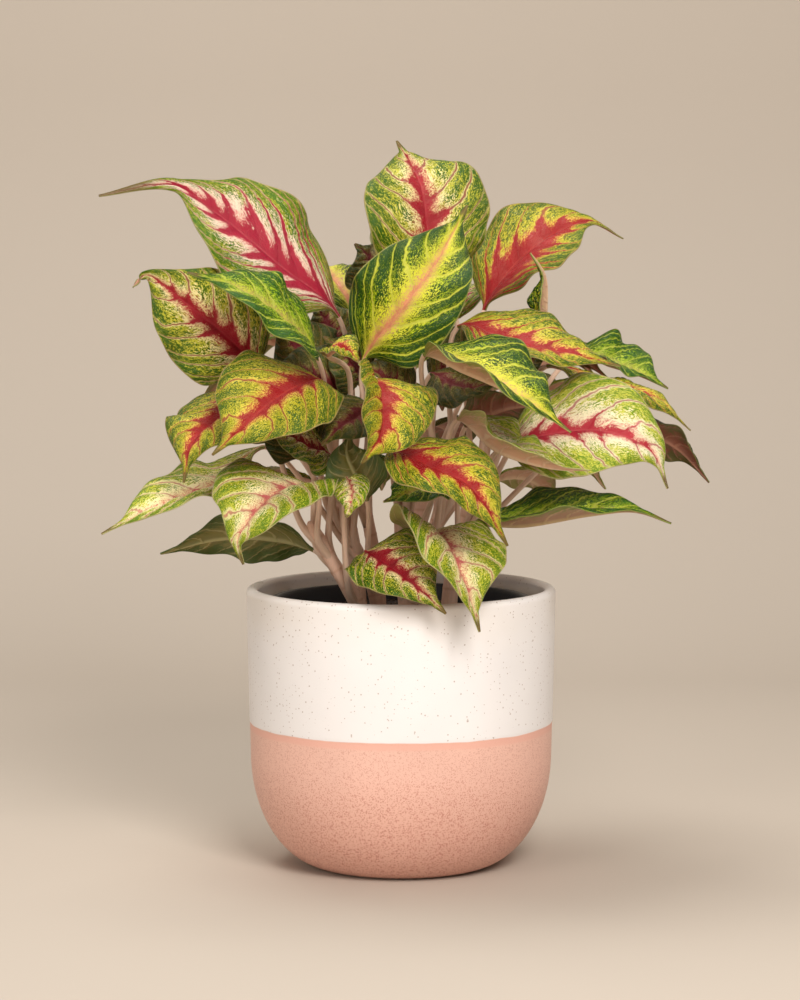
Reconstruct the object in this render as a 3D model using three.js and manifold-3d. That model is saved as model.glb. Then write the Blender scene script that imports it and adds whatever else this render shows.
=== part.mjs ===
// A Chinese evergreen (Aglaonema) in a two-tone ceramic pot, in millimetres, +Z up.
// The origin is the middle of the pot's flat base. The front of the plant looks along -Y.
//
// The ceramic pot holds a plastic nursery pot, which holds the soil. Eight canes stand in
// plain holes in the soil, and each leaf, a petiole and its blade in one piece, rises from
// the side of a cane.

import * as THREE from 'three';
import { mergeVertices } from 'three/addons/utils/BufferGeometryUtils.js';
import Module from 'manifold-3d';

const wasm = await Module();
wasm.setup();

// ---------------------------------------------------------------- driving dimensions

const GAP = 0.3;                 // clearance between pieces that rest on each other

const POT_RIM_RADIUS = 112.5;    // outside, under the rounded lip
const POT_WAIST_RADIUS = 110;    // outside, where the round bowl turns into the wall
const POT_WAIST_HEIGHT = 78;
const POT_BASE_RADIUS = 60;      // the flat ring of the base that the pot stands on
const POT_HEIGHT = 204;
const POT_WALL = 8.5;
const POT_FLOOR = 9;
const POT_FOOT_BEND = [84, 3];   // the two handles that bend the bowl's outside
const POT_BELLY_BEND = [108, 33];
const HOLLOW_BELLY_BEND = [99.5, 40];   // and the two that bend its inside
const HOLLOW_FLOOR_BEND = 88;
const HOLLOW_FLOOR_RADIUS = 74;  // the flat of the pot's floor
const POT_SIDES = 40;
const BOWL_STEPS = 7;
const HOLLOW_STEPS = 5;
const LIP_STEPS = 6;

const NURSERY_RIM_RADIUS = 96;
const NURSERY_BASE_RADIUS = 66;
const NURSERY_HEIGHT = 186;
const NURSERY_WALL = 1.8;
const NURSERY_LIP = 3;           // how far the rolled rim stands out from the wall
const NURSERY_BAND = 7;          // height of the rolled rim
const NURSERY_EDGE = 1;          // bevels above and below it
const NURSERY_SIDES = 32;
const DRAIN_HOLES = 6;
const DRAIN_RADIUS = 5;
const DRAIN_CIRCLE = 42;
const DRAIN_SIDES = 10;

const SOIL_TOP = 183;            // level at the nursery pot's wall
const SOIL_CROWN = 3;            // how much higher it lies in the middle
const SOIL_SHOULDER = [0.7, 0.8];   // where the crown turns down, as shares of radius and crown

const CANE_SIDES = 8;
const CANE_STEPS = 5;
const CANE_CLEARANCE = 0.35;     // between a cane and its hole in the soil

const PETIOLE_RADIUS = 2.3;      // at the cane
const FOOT_MARGIN = 0.7;         // first try at the room between its foot and the cane
const FOOT_TRIES = 3;            // then it is brought up to GAP from the cane
const FOOT_SEARCH = 5;
const SEEK_STEP = 0.01;          // how finely its place along the cane is found
const PETIOLE_NECK = 1.7;        // where it runs into the blade
const BLADE_THICKNESS = 0.8;
const RIB_THICKNESS = 2.2;       // blade and midrib together, near the petiole
const TAIL_HALF_WIDTH = 3;       // where the drip tip begins
const TIP_HALF_WIDTH = 0.8;

// ---------------------------------------------------------------- materials

const finish = (color, roughness) => new THREE.MeshStandardMaterial({ color, roughness, metalness: 0 });

const materials = {
  ceramic: finish(0xe9d9c8, 0.35),
  plastic: finish(0x24262b, 0.5),
  soil: finish(0x2a211b, 0.95),
  cane: finish(0xa98273, 0.6),
  rose: finish(0xc9777a, 0.45),
  crimson: finish(0xa8303f, 0.45),
  lime: finish(0x9fb53a, 0.4),
  cream: finish(0xd9d3a0, 0.45),
  shade: finish(0x5f7a35, 0.5),
};

// ---------------------------------------------------------------- solids

const vec = ([x, y, z]) => new THREE.Vector3(x, y, z);

// A closed mesh with shared vertices, as a solid that can be joined and cut.
function solidOf(geometry) {
  const bare = geometry.clone();
  bare.deleteAttribute('normal');
  bare.deleteAttribute('uv');
  const merged = mergeVertices(bare, 1e-3);
  return new wasm.Manifold(new wasm.Mesh({
    numProp: 3,
    vertProperties: new Float32Array(merged.attributes.position.array),
    triVerts: new Uint32Array(merged.index.array),
  }));
}

function geometryOf(solid) {
  const mesh = solid.getMesh();
  const geometry = new THREE.BufferGeometry();
  geometry.setAttribute('position', new THREE.BufferAttribute(mesh.vertProperties, 3));
  geometry.setIndex(new THREE.BufferAttribute(mesh.triVerts, 1));
  geometry.computeVertexNormals();
  return geometry;
}

// A profile of [radius, height] points, turned about Z.
function turned(profile, sides) {
  const points = profile.map(([radius, height]) => new THREE.Vector2(radius, height));
  return new THREE.LatheGeometry(points, sides).rotateX(Math.PI / 2);
}

// A skin over rings that all have the same number of points, closed by a fan at each end.
// The faces of a quad are split along the diagonal that diagonal(column) chooses.
function skinned(rings, diagonal) {
  const count = rings[0].length;
  const points = rings.flat();
  const faces = [];
  for (let i = 0; i + 1 < rings.length; i += 1) {
    for (let j = 0; j < count; j += 1) {
      const a = i * count + j;
      const b = i * count + (j + 1) % count;
      const c = b + count;
      const d = a + count;
      faces.push(...(diagonal(j) ? [a, b, c, a, c, d] : [a, b, d, b, c, d]));
    }
  }
  const last = (rings.length - 1) * count;
  for (let j = 1; j + 1 < count; j += 1) {
    faces.push(0, j + 1, j);
    faces.push(last, last + j, last + j + 1);
  }
  const geometry = new THREE.BufferGeometry();
  geometry.setAttribute('position', new THREE.Float32BufferAttribute(points.flatMap((p) => p.toArray()), 3));
  geometry.setIndex(faces);
  geometry.computeVertexNormals();
  return geometry;
}

// ---------------------------------------------------------------- pots and soil

function bezier(from, out, into, to, steps) {
  const curve = new THREE.CubicBezierCurve(...[from, out, into, to].map((p) => new THREE.Vector2(...p)));
  return curve.getPoints(steps).map((p) => [p.x, p.y]);
}

function ceramicPot() {
  const lipRadius = POT_WALL / 2;
  const lipHeight = POT_HEIGHT - lipRadius;
  const bowl = bezier(
    [POT_BASE_RADIUS, 0], POT_FOOT_BEND,
    POT_BELLY_BEND, [POT_WAIST_RADIUS, POT_WAIST_HEIGHT], BOWL_STEPS);
  const hollow = bezier(
    [POT_WAIST_RADIUS - POT_WALL, POT_WAIST_HEIGHT], HOLLOW_BELLY_BEND,
    [HOLLOW_FLOOR_BEND, POT_FLOOR], [HOLLOW_FLOOR_RADIUS, POT_FLOOR], HOLLOW_STEPS);
  const lip = [];
  for (let step = 0; step <= LIP_STEPS; step += 1) {
    const angle = Math.PI * step / LIP_STEPS;
    lip.push([
      POT_RIM_RADIUS - lipRadius + lipRadius * Math.cos(angle),
      lipHeight + lipRadius * Math.sin(angle),
    ]);
  }
  return turned([[0, 0], ...bowl, ...lip, ...hollow, [0, POT_FLOOR]], POT_SIDES);
}

function nurseryRadius(height) {
  return NURSERY_BASE_RADIUS
    + (NURSERY_RIM_RADIUS - NURSERY_LIP - NURSERY_BASE_RADIUS) * height / NURSERY_HEIGHT;
}

function nurseryPot() {
  const top = NURSERY_HEIGHT;
  const wall = turned([
    [0, 0],
    [nurseryRadius(0), 0],
    [nurseryRadius(top - NURSERY_BAND - NURSERY_EDGE), top - NURSERY_BAND - NURSERY_EDGE],
    [NURSERY_RIM_RADIUS, top - NURSERY_BAND],
    [NURSERY_RIM_RADIUS, top - NURSERY_EDGE],
    [NURSERY_RIM_RADIUS - NURSERY_EDGE, top],
    [nurseryRadius(top) - NURSERY_WALL, top],
    [nurseryRadius(NURSERY_WALL) - NURSERY_WALL, NURSERY_WALL],
    [0, NURSERY_WALL],
  ], NURSERY_SIDES);
  let pot = solidOf(wall);
  for (let hole = 0; hole < DRAIN_HOLES; hole += 1) {
    const angle = 2 * Math.PI * hole / DRAIN_HOLES;
    const drain = new THREE.CylinderGeometry(DRAIN_RADIUS, DRAIN_RADIUS, 3 * NURSERY_WALL, DRAIN_SIDES)
      .rotateX(Math.PI / 2)
      .translate(DRAIN_CIRCLE * Math.cos(angle), DRAIN_CIRCLE * Math.sin(angle), NURSERY_WALL / 2);
    pot = pot.subtract(solidOf(drain));
  }
  return geometryOf(pot).translate(0, 0, POT_FLOOR + GAP);
}

// ---------------------------------------------------------------- canes

// Each cane: the points it grows through, its radius, and the share of it left at its top.
const canes = {
  front_left: { path: [[-19, -34, 160], [-29, -38, 192], [-50, -42, 228], [-66, -44, 256]], radius: 5 },
  left: { path: [[-13, -10, 160], [-20, -14, 205], [-36, -16, 240], [-48, -17, 266]], radius: 4.8 },
  inner: { path: [[-14, 14, 160], [-18, 14, 215], [-24, 12, 250], [-30, 10, 280]], radius: 4.5 },
  middle: { path: [[8, -26, 160], [3, -28, 215], [1, -30, 250], [0, -32, 284]], radius: 6 },
  right: { path: [[20, -6, 160], [18, -8, 215], [24, -12, 248], [37, -16, 274]], radius: 4.8 },
  right_back: { path: [[34, 14, 160], [37, 15, 205], [48, 18, 255], [62, 20, 296]], radius: 5.2 },
  back_left: { path: [[-30, 38, 160], [-34, 42, 220], [-42, 46, 262], [-50, 48, 296]], radius: 5.2 },
  back: { path: [[10, 48, 160], [12, 54, 220], [15, 60, 262], [18, 66, 298]], radius: 5.5 },
};

const CANE_TAPER = 0.25;         // how much thinner a cane is at its top

const growthCurve = (points) => new THREE.CatmullRomCurve3(points.map(vec));

function ringAround(centre, tangent, side, radius, sides) {
  const across = side.clone().addScaledVector(tangent, -side.dot(tangent)).normalize();
  const up = across.clone().cross(tangent);
  return Array.from({ length: sides }, (_, k) => {
    const angle = -2 * Math.PI * k / sides;
    return centre.clone()
      .addScaledVector(across, radius * Math.cos(angle))
      .addScaledVector(up, radius * Math.sin(angle));
  });
}

// The cane's solid. margin makes it thicker and longer, for the hole that it stands in.
function caneSolid({ path, radius }, margin = 0) {
  const curve = growthCurve(path);
  const rings = [];
  for (let step = 0; step <= CANE_STEPS; step += 1) {
    const t = step / CANE_STEPS;
    const centre = curve.getPoint(t);
    if (step === 0) {
      centre.addScaledVector(curve.getTangent(0), -margin);
    }
    rings.push(ringAround(
      centre, curve.getTangent(t), new THREE.Vector3(1, 0, 0),
      radius * (1 - CANE_TAPER * t) + margin, CANE_SIDES));
  }
  return skinned(rings, () => true);
}

function soil() {
  const bottom = POT_FLOOR + GAP + NURSERY_WALL + GAP;
  const inner = (height) => nurseryRadius(height - POT_FLOOR - GAP) - NURSERY_WALL - GAP;
  const [shoulder, drop] = SOIL_SHOULDER;
  let ground = solidOf(turned([
    [0, bottom],
    [inner(bottom), bottom],
    [inner(SOIL_TOP), SOIL_TOP],
    [inner(SOIL_TOP) * shoulder, SOIL_TOP + SOIL_CROWN * drop],
    [0, SOIL_TOP + SOIL_CROWN],
  ], NURSERY_SIDES));
  for (const cane of Object.values(canes)) {
    ground = ground.subtract(solidOf(caneSolid(cane, CANE_CLEARANCE)));
  }
  return geometryOf(ground);
}

// ---------------------------------------------------------------- leaves

// Each leaf: the cane it grows from and how high its foot is there, the points that its
// midrib passes through from the blade's base to its tip, the blade's width, the direction
// that its upper face looks in at its middle, how far its halves fold up from the midrib at
// its base and at its tip (fold) and bend back down towards their edges (curl), in degrees,
// and its finish. tail is the share of its length that the thin drip tip takes, swell is
// where it is widest, and via is a point that the petiole goes through on its way.
const leaves = [
  { name: 'top_left', cane: 'inner', foot: 277, finish: 'rose', width: 82, tail: 0.27, swell: 0.37,
    rib: [[-44, -18, 399], [-87, -38, 439], [-131, -54, 476], [-160, -60, 495], [-212, -68, 488]],
    face: [0.35, -0.62, 0.72], fold: [28, 20], curl: 16 },
  { name: 'top_middle', cane: 'right_back', foot: 278, finish: 'crimson', width: 90, swell: 0.54,
    rib: [[37, -5, 413], [21, -22, 455], [14, -14, 495], [-3, 22, 527]],
    face: [0.35, -1, 0.1], fold: [20, 10], curl: 16 },
  { name: 'top_right', cane: 'right_back', foot: 288, finish: 'crimson', width: 78, tail: 0.15, swell: 0.48,
    rib: [[60, 12, 403], [79, 18, 433], [107, 26, 457], [137, 34, 468], [163, 38, 456]],
    face: [-0.25, -0.6, 0.75], fold: [30, 16], curl: 20 },
  { name: 'top_shaded', cane: 'inner', foot: 270, finish: 'shade', width: 50,
    rib: [[-9, 30, 420], [-17, 36, 432], [-24, 40, 443], [-34, 44, 452]],
    face: [0.1, -0.8, 0.6], fold: [14, 10] },
  { name: 'spear', cane: 'right_back', foot: 290, finish: 'lime', width: 26, tail: 0.3,
    via: [[90, 6, 340]],
    rib: [[101, -22, 391], [103, -27, 410], [102, -31, 431], [92, -33, 447]],
    face: [-0.95, -0.3, 0.1], fold: [46, 30], curl: 4 },
  { name: 'front_lime', cane: 'left', foot: 244, finish: 'lime', width: 74,
    via: [[-24, -38, 315]],
    rib: [[-27, -54, 370], [1, -74, 409], [25, -72, 442], [47, -48, 481]],
    face: [-0.1, -0.9, 0.2], fold: [24, 10], curl: 14 },
  { name: 'left_lime', cane: 'left', foot: 256, finish: 'lime', width: 64,
    via: [[-52, -30, 330]],
    rib: [[-59, -66, 374], [-83, -102, 404], [-112, -122, 425], [-146, -132, 436]],
    face: [0.35, -0.55, 0.75], fold: [26, 14], curl: 20 },
  { name: 'left_dark', cane: 'inner', foot: 262, finish: 'crimson', width: 74,
    via: [[-62, -18, 320]],
    rib: [[-99, -45, 363], [-124, -66, 390], [-153, -78, 415], [-178, -84, 433], [-187, -86, 424]],
    face: [-0.25, -0.85, 0.3], fold: [20, 10], curl: 24 },
  { name: 'left_pink', cane: 'left', foot: 264, finish: 'rose', width: 82, swell: 0.46,
    via: [[-60, -24, 312]],
    rib: [[-56, -62, 357], [-84, -104, 350], [-111, -132, 328], [-129, -146, 312]],
    face: [-0.3, -0.65, 0.7], fold: [30, 14], curl: 26 },
  { name: 'left_behind', cane: 'front_left', foot: 253, finish: 'rose', width: 76, swell: 0.45,
    rib: [[-103, -44, 344], [-128, -84, 332], [-145, -104, 317], [-151, -112, 290]],
    face: [-0.5, -0.7, 0.5], fold: [22, 12], curl: 30 },
  { name: 'left_under', cane: 'back_left', foot: 266, finish: 'shade', width: 50,
    rib: [[-74, 10, 321], [-97, 20, 314], [-121, 26, 309], [-142, 30, 304]],
    face: [0, 0.3, 1], fold: [10, 10], curl: 16 },
  { name: 'left_inner', cane: 'front_left', foot: 240, finish: 'crimson', width: 50,
    rib: [[-51, -38, 302], [-66, -50, 310], [-84, -60, 321], [-100, -68, 328]],
    face: [0.1, -0.6, 0.8], fold: [20, 10] },
  { name: 'low_left', cane: 'left', foot: 238, finish: 'cream', width: 60, tail: 0.1, swell: 0.55,
    rib: [[-97, -30, 308], [-127, -52, 285], [-168, -76, 271], [-210, -92, 252]],
    face: [-0.15, -0.35, 0.9], fold: [28, 18], curl: 14 },
  { name: 'low_left_front', cane: 'front_left', foot: 244, finish: 'cream', width: 80, swell: 0.52,
    rib: [[-59, -60, 276], [-83, -104, 284], [-104, -140, 267], [-112, -148, 252], [-108, -150, 237]],
    face: [0.02, -0.31, 0.9], fold: [25, 20], curl: 20 },
  { name: 'low_left_under', cane: 'front_left', foot: 196, finish: 'shade', width: 56,
    rib: [[-62, -5, 230], [-97, 8, 238], [-136, 20, 236], [-177, 26, 225]],
    face: [0, 0.65, 0.7], fold: [14, 8] },
  { name: 'front_folded', cane: 'middle', foot: 280, finish: 'rose', width: 70,
    via: [[12, -58, 318], [-4, -88, 348]],
    rib: [[-20, -96, 362], [-13, -120, 348], [-14, -140, 326], [-27, -146, 306]],
    face: [0.6, -0.7, 0.35], fold: [44, 24], curl: 16 },
  { name: 'front_small', cane: 'left', foot: 252, finish: 'rose', width: 28,
    via: [[-36, -42, 338], [-38, -72, 367]],
    rib: [[-51, -102, 378], [-42, -112, 383], [-35, -118, 380], [-29, -122, 374]],
    face: [0.1, -0.5, 0.85], fold: [30, 20] },
  { name: 'front_shaded', cane: 'middle', foot: 270, finish: 'shade', width: 46,
    rib: [[-16, -62, 336], [-34, -82, 332], [-46, -94, 324], [-55, -102, 315]],
    face: [-0.1, -0.8, 0.6], fold: [16, 10] },
  { name: 'front_under', cane: 'left', foot: 214, finish: 'shade', width: 42,
    rib: [[-24, -68, 273], [-31, -74, 290], [-38, -72, 306], [-36, -64, 321]],
    face: [0.1, 0.95, 0.2], fold: [14, 10] },
  { name: 'front_low_small', cane: 'middle', foot: 236, finish: 'lime', width: 40,
    rib: [[28, -58, 288], [16, -82, 284], [3, -100, 280], [-12, -116, 277]],
    face: [-0.1, -0.6, 0.8], fold: [16, 10] },
  { name: 'front_red', cane: 'middle', foot: 256, finish: 'crimson', width: 62,
    via: [[6, -60, 294]],
    rib: [[-7, -92, 312], [20, -122, 302], [47, -142, 290], [73, -152, 250]],
    face: [0.1, -0.6, 0.8], fold: [26, 20], curl: 26 },
  { name: 'right_lime', cane: 'right', foot: 263, finish: 'lime', width: 78, swell: 0.48,
    rib: [[16, -91, 377], [43, -119, 368], [79, -142, 352], [116, -152, 328]],
    face: [0.1, -0.2, 1], fold: [48, 20], curl: 12 },
  { name: 'right_shaded', cane: 'middle', foot: 262, finish: 'shade', width: 46,
    rib: [[21, -46, 361], [36, -58, 355], [54, -70, 353], [72, -76, 358]],
    face: [0, -0.6, 0.8], fold: [10, 10] },
  { name: 'right_pink', cane: 'right', foot: 269, finish: 'rose', width: 68,
    rib: [[40, -40, 394], [80, -62, 385], [119, -76, 377], [154, -80, 369]],
    face: [0.15, -0.5, 0.85], fold: [26, 14], curl: 20 },
  { name: 'right_green', cane: 'right_back', foot: 256, finish: 'lime', width: 58,
    rib: [[127, 20, 371], [154, 16, 364], [175, 10, 357], [194, 4, 348]],
    face: [0.1, -0.3, 0.95], fold: [36, 20], curl: 14 },
  { name: 'right_long', cane: 'right_back', foot: 244, finish: 'rose', width: 58, swell: 0.5,
    rib: [[104, -18, 365], [143, -28, 352], [178, -32, 345], [208, -28, 320]],
    face: [0.15, -0.15, 1], fold: [10, 10], curl: 24 },
  { name: 'right_cream', cane: 'right', foot: 273, finish: 'cream', width: 82, swell: 0.48,
    via: [[53, -30, 284]],
    rib: [[70, -54, 308], [101, -74, 320], [143, -92, 324], [174, -100, 311], [186, -104, 285]],
    face: [0.1, -0.8, 0.6], fold: [22, 12], curl: 20 },
  { name: 'right_under', cane: 'right_back', foot: 232, finish: 'shade', width: 50,
    rib: [[145, 10, 321], [174, 6, 318], [203, 2, 303], [224, -2, 280]],
    face: [0.3, 0.5, 0.8], fold: [12, 12] },
  { name: 'right_folded', cane: 'right', foot: 242, finish: 'cream', width: 60,
    rib: [[40, -70, 331], [68, -100, 311], [103, -118, 301], [130, -128, 300]],
    face: [0, 0.15, 1], fold: [48, 16], curl: 10 },
  { name: 'low_right', cane: 'right', foot: 222, finish: 'lime', width: 62, tail: 0.12, swell: 0.5,
    rib: [[46, -44, 252], [89, -68, 256], [133, -86, 265], [164, -94, 268], [189, -98, 260]],
    face: [0, -0.2, 1], fold: [40, 24], curl: 12 },
  { name: 'bottom_middle', cane: 'middle', foot: 206, finish: 'rose', width: 62, swell: 0.36,
    via: [[-16, -50, 228]],
    rib: [[-25, -72, 237], [-8, -98, 230], [10, -122, 219], [31, -134, 201]],
    face: [-0.05, -0.68, 0.73], fold: [30, 20], curl: 24 },
  { name: 'bottom_right', cane: 'middle', foot: 216, finish: 'cream', width: 78, swell: 0.45,
    via: [[5, -46, 230]],
    rib: [[8, -52, 241], [28, -92, 251], [43, -130, 225], [54, -146, 190]],
    face: [0.45, -0.5, 0.74], fold: [24, 24], curl: 16 },
  { name: 'left_shaded', cane: 'back_left', foot: 292, finish: 'shade', width: 44,
    rib: [[-43, 0, 376], [-50, 4, 389], [-57, 8, 401], [-65, 10, 410]],
    face: [0, -0.7, 0.7], fold: [12, 12] },
  { name: 'right_brown', cane: 'right_back', foot: 220, finish: 'shade', width: 54,
    rib: [[46, -24, 322], [62, -30, 331], [80, -36, 337], [103, -38, 338]],
    face: [0, 0.6, 0.8], fold: [12, 12] },
  { name: 'front_tip', cane: 'front_left', foot: 206, finish: 'rose', width: 26,
    rib: [[-38, -94, 291], [-34, -104, 284], [-35, -112, 274], [-38, -116, 266]],
    face: [-0.2, -0.8, 0.6], fold: [30, 20] },
  { name: 'side_left', cane: 'back_left', foot: 286, finish: 'rose', width: 58,
    rib: [[-72, 28, 368], [-105, 36, 382], [-135, 42, 380], [-160, 46, 360]],
    face: [-0.2, 0.1, 1], fold: [24, 12] },
  { name: 'back_1', cane: 'back_left', foot: 254, finish: 'rose', width: 62,
    rib: [[-70, 60, 330], [-108, 92, 342], [-138, 115, 328], [-154, 130, 298]],
    face: [0, 0.3, 1], fold: [24, 12] },
  { name: 'back_2', cane: 'back_left', foot: 276, finish: 'crimson', width: 66,
    rib: [[-55, 70, 365], [-82, 108, 385], [-103, 140, 380], [-114, 164, 350]],
    face: [-0.1, 0.5, 0.9], fold: [24, 12] },
  { name: 'back_3', cane: 'back_left', foot: 286, finish: 'lime', width: 64,
    rib: [[-35, 60, 396], [-50, 92, 424], [-62, 125, 430], [-70, 155, 412]],
    face: [-0.1, 0.2, 1], fold: [24, 12] },
  { name: 'back_4', cane: 'back', foot: 262, finish: 'cream', width: 64,
    rib: [[-5, 85, 345], [-15, 122, 360], [-20, 156, 350], [-22, 180, 320]],
    face: [0, 0.4, 0.9], fold: [24, 12] },
  { name: 'back_5', cane: 'back', foot: 290, finish: 'rose', width: 66,
    rib: [[30, 90, 385], [36, 122, 410], [42, 154, 412], [46, 180, 392]],
    face: [0, 0.3, 0.95], fold: [24, 12] },
  { name: 'back_6', cane: 'back', foot: 252, finish: 'lime', width: 62,
    rib: [[50, 85, 330], [82, 115, 344], [108, 138, 338], [125, 156, 312]],
    face: [0.2, 0.4, 0.9], fold: [24, 12] },
  { name: 'back_7', cane: 'back', foot: 286, finish: 'rose', width: 64,
    rib: [[60, 62, 360], [95, 84, 374], [126, 102, 370], [150, 116, 346]],
    face: [0.1, 0.3, 1], fold: [24, 12] },
  { name: 'back_8', cane: 'back', foot: 294, finish: 'crimson', width: 70,
    rib: [[10, 60, 420], [15, 75, 460], [18, 90, 490], [20, 110, 505]],
    face: [0, 0.9, 0.4], fold: [20, 10] },
  { name: 'back_9', cane: 'right_back', foot: 208, finish: 'rose', width: 60,
    rib: [[92, 48, 334], [132, 70, 344], [163, 88, 330], [182, 100, 302]],
    face: [0.2, 0.3, 1], fold: [24, 12] },
  { name: 'back_10', cane: 'back_left', foot: 236, finish: 'cream', width: 56,
    rib: [[-78, 66, 296], [-104, 84, 310], [-126, 98, 312], [-142, 108, 302]],
    face: [-0.1, 0.3, 1], fold: [20, 12] },
  { name: 'back_11', cane: 'back', foot: 238, finish: 'shade', width: 58,
    rib: [[20, 95, 310], [30, 130, 312], [38, 160, 300], [42, 180, 276]],
    face: [0, 0.3, 1], fold: [20, 12] },
  { name: 'back_12', cane: 'back', foot: 226, finish: 'lime', width: 56,
    rib: [[80, 66, 300], [112, 92, 298], [140, 112, 284], [156, 122, 264]],
    face: [0.1, 0.3, 1], fold: [20, 12] },
];

const USUAL = { tail: 0.09, swell: 0.4, curl: 24, via: [] };

const ROUNDNESS = 0.68;          // lower is blunter at both ends of the blade
const WALK_STEPS = 16;           // samples along each span of a midrib
const PETIOLE_STATIONS = [0, 0.3, 0.6, 0.85];
const BLADE_STATIONS = [0, 0.07, 0.18, 0.33, 0.5, 0.67, 0.82, 0.94];   // up to the drip tip
const ACROSS = [-1, -0.52, 0, 0.52, 1];   // places across the blade, from edge to edge
const ROUND_END = 0.1;           // share of the blade over which the petiole flattens out
const FACE_AT = 0.45;            // where along the blade a leaf's face direction holds
const LEAST_RISE = 0.3;          // how steep a petiole is at least taken to be at its foot
const TIP_PINCH = 0.45;          // how much narrower the blade gets beyond TIP_START
const TIP_START = 0.7;
const RING_START = 0.9;          // the petiole's ten corners, in half turns from its right side
const RING_STEP = 0.2;

const { smoothstep, degToRad, lerp } = THREE.MathUtils;

// The half width of a blade, from its base (v = 0) to its tip (v = 1).
function outline(v, { width, tail, swell }) {
  const u = Math.min(v / (1 - tail), 1);
  const bulge = Math.max(Math.sin(Math.PI * u ** (Math.log(0.5) / Math.log(swell))), 0) ** ROUNDNESS;
  const body = width / 2 * bulge * (1 - TIP_PINCH * smoothstep(u, TIP_START, 1));
  const drip = v > swell ? lerp(TAIL_HALF_WIDTH, TIP_HALF_WIDTH, Math.max(v - 1 + tail, 0) / tail) : 0;
  return Math.max(body, drip);
}

// The midrib from the cane to the tip, with the length walked at each sample.
function midrib({ cane, foot, via, rib, margin }) {
  const stem = canes[cane];
  const curve = growthCurve(stem.path);
  let t = 0;
  while (t < 1 && curve.getPoint(t).z < foot) {
    t += SEEK_STEP;
  }
  const centre = curve.getPoint(Math.min(t, 1));
  const next = vec(via[0] ?? rib[0]);
  const out = next.clone().sub(centre);
  const rise = out.clone().normalize().z;
  out.z = 0;
  out.normalize();
  const stemRadius = stem.radius * (1 - CANE_TAPER * t);
  const reach = stemRadius + PETIOLE_RADIUS * Math.max(rise, LEAST_RISE) + margin;
  const start = centre.clone().addScaledVector(out, reach);
  const path = [start, ...via.map(vec), ...rib.map(vec)];
  const base = path.length - rib.length;
  const walk = new THREE.CatmullRomCurve3(path);
  const spans = path.length - 1;
  const samples = walk.getPoints(spans * WALK_STEPS);
  const lengths = [0];
  for (let k = 1; k < samples.length; k += 1) {
    lengths.push(lengths[k - 1] + samples[k].distanceTo(samples[k - 1]));
  }
  return { samples, lengths, baseLength: lengths[base * WALK_STEPS], length: lengths.at(-1) };
}

function placeOn({ samples, lengths }, distance) {
  let k = 1;
  while (k < lengths.length - 1 && lengths[k] < distance) {
    k += 1;
  }
  const share = (distance - lengths[k - 1]) / (lengths[k] - lengths[k - 1]);
  const before = samples[Math.max(k - 2, 0)];
  const after = samples[Math.min(k + 1, samples.length - 1)];
  return {
    point: samples[k - 1].clone().lerp(samples[k], share),
    tangent: after.clone().sub(before).normalize(),
  };
}

// A leaf: a round petiole that flattens into a folded blade with a thicker midrib.
function leaf(row) {
  const rib = midrib(row);
  const { tail } = row;
  const bladeLength = rib.length - rib.baseLength;
  const middle = placeOn(rib, rib.baseLength + FACE_AT * bladeLength);
  const rightWards = middle.tangent.clone().cross(vec(row.face)).normalize();
  const curl = degToRad(row.curl);

  const stations = [
    ...PETIOLE_STATIONS.map((p) => ({ distance: p * rib.baseLength, v: -1 + p })),
    ...[...BLADE_STATIONS.map((u) => u * (1 - tail)), 1 - 0.7 * tail, 1]
      .map((v) => ({ distance: rib.baseLength + v * bladeLength, v })),
  ];
  const rings = [];
  let side = rightWards;
  for (const { distance, v } of stations.toReversed()) {
    const { point, tangent } = placeOn(rib, distance);
    const from = v > 0 ? rightWards : side;
    side = from.clone().addScaledVector(tangent, -from.dot(tangent)).normalize();
    const up = side.clone().cross(tangent);
    const flat = v > 0 ? smoothstep(v, 0, ROUND_END) : 0;
    const stalk = v > 0 ? PETIOLE_NECK : lerp(PETIOLE_NECK, PETIOLE_RADIUS, -v);
    const half = Math.max(outline(Math.max(v, 0), row), TIP_HALF_WIDTH);
    const fold = degToRad(lerp(...row.fold, Math.max(v, 0)));
    const section = ACROSS.map((s, k) => {
      const turn = Math.PI * (RING_START - RING_STEP * k);
      const slope = fold - curl * Math.abs(s);
      const x = Math.sign(s) * half * (Math.sin(fold) - Math.sin(slope)) / curl;
      const h = half * (Math.cos(slope) - Math.cos(fold)) / curl;
      const thick = s === 0 ? lerp(RIB_THICKNESS, BLADE_THICKNESS, Math.min(v, 1)) : BLADE_THICKNESS;
      const lean = Math.sign(s) * slope;
      return [1, -1].map((face) => {
        const offset = face > 0 || s !== 0 ? face * BLADE_THICKNESS / 2 : BLADE_THICKNESS / 2 - thick;
        const flatX = x - Math.sin(lean) * offset;
        const flatH = h + Math.cos(lean) * offset;
        const roundX = stalk * Math.cos(turn);
        const roundH = face * stalk * Math.sin(turn);
        return point.clone()
          .addScaledVector(side, lerp(roundX, flatX, flat))
          .addScaledVector(up, lerp(roundH, flatH, flat));
      });
    });
    rings.push([...section.map((pair) => pair[0]), ...section.toReversed().map((pair) => pair[1])]);
  }
  rings.reverse();
  const columns = ACROSS.length - 1;
  return skinned(rings, (column) => column < columns);
}

// The leaf with its foot seated on its cane.
function seatedLeaf(row) {
  const cane = solidOf(caneSolid(canes[row.cane]));
  let margin = GAP + FOOT_MARGIN;
  for (let attempt = 0; attempt < FOOT_TRIES; attempt += 1) {
    margin -= solidOf(leaf({ ...row, margin })).minGap(cane, FOOT_SEARCH) - GAP;
  }
  return leaf({ ...row, margin });
}

// ---------------------------------------------------------------- the plant in its pot

const plant = new THREE.Group();

function add(name, geometry, material) {
  const mesh = new THREE.Mesh(geometry, material);
  mesh.name = name;
  plant.add(mesh);
}

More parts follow.
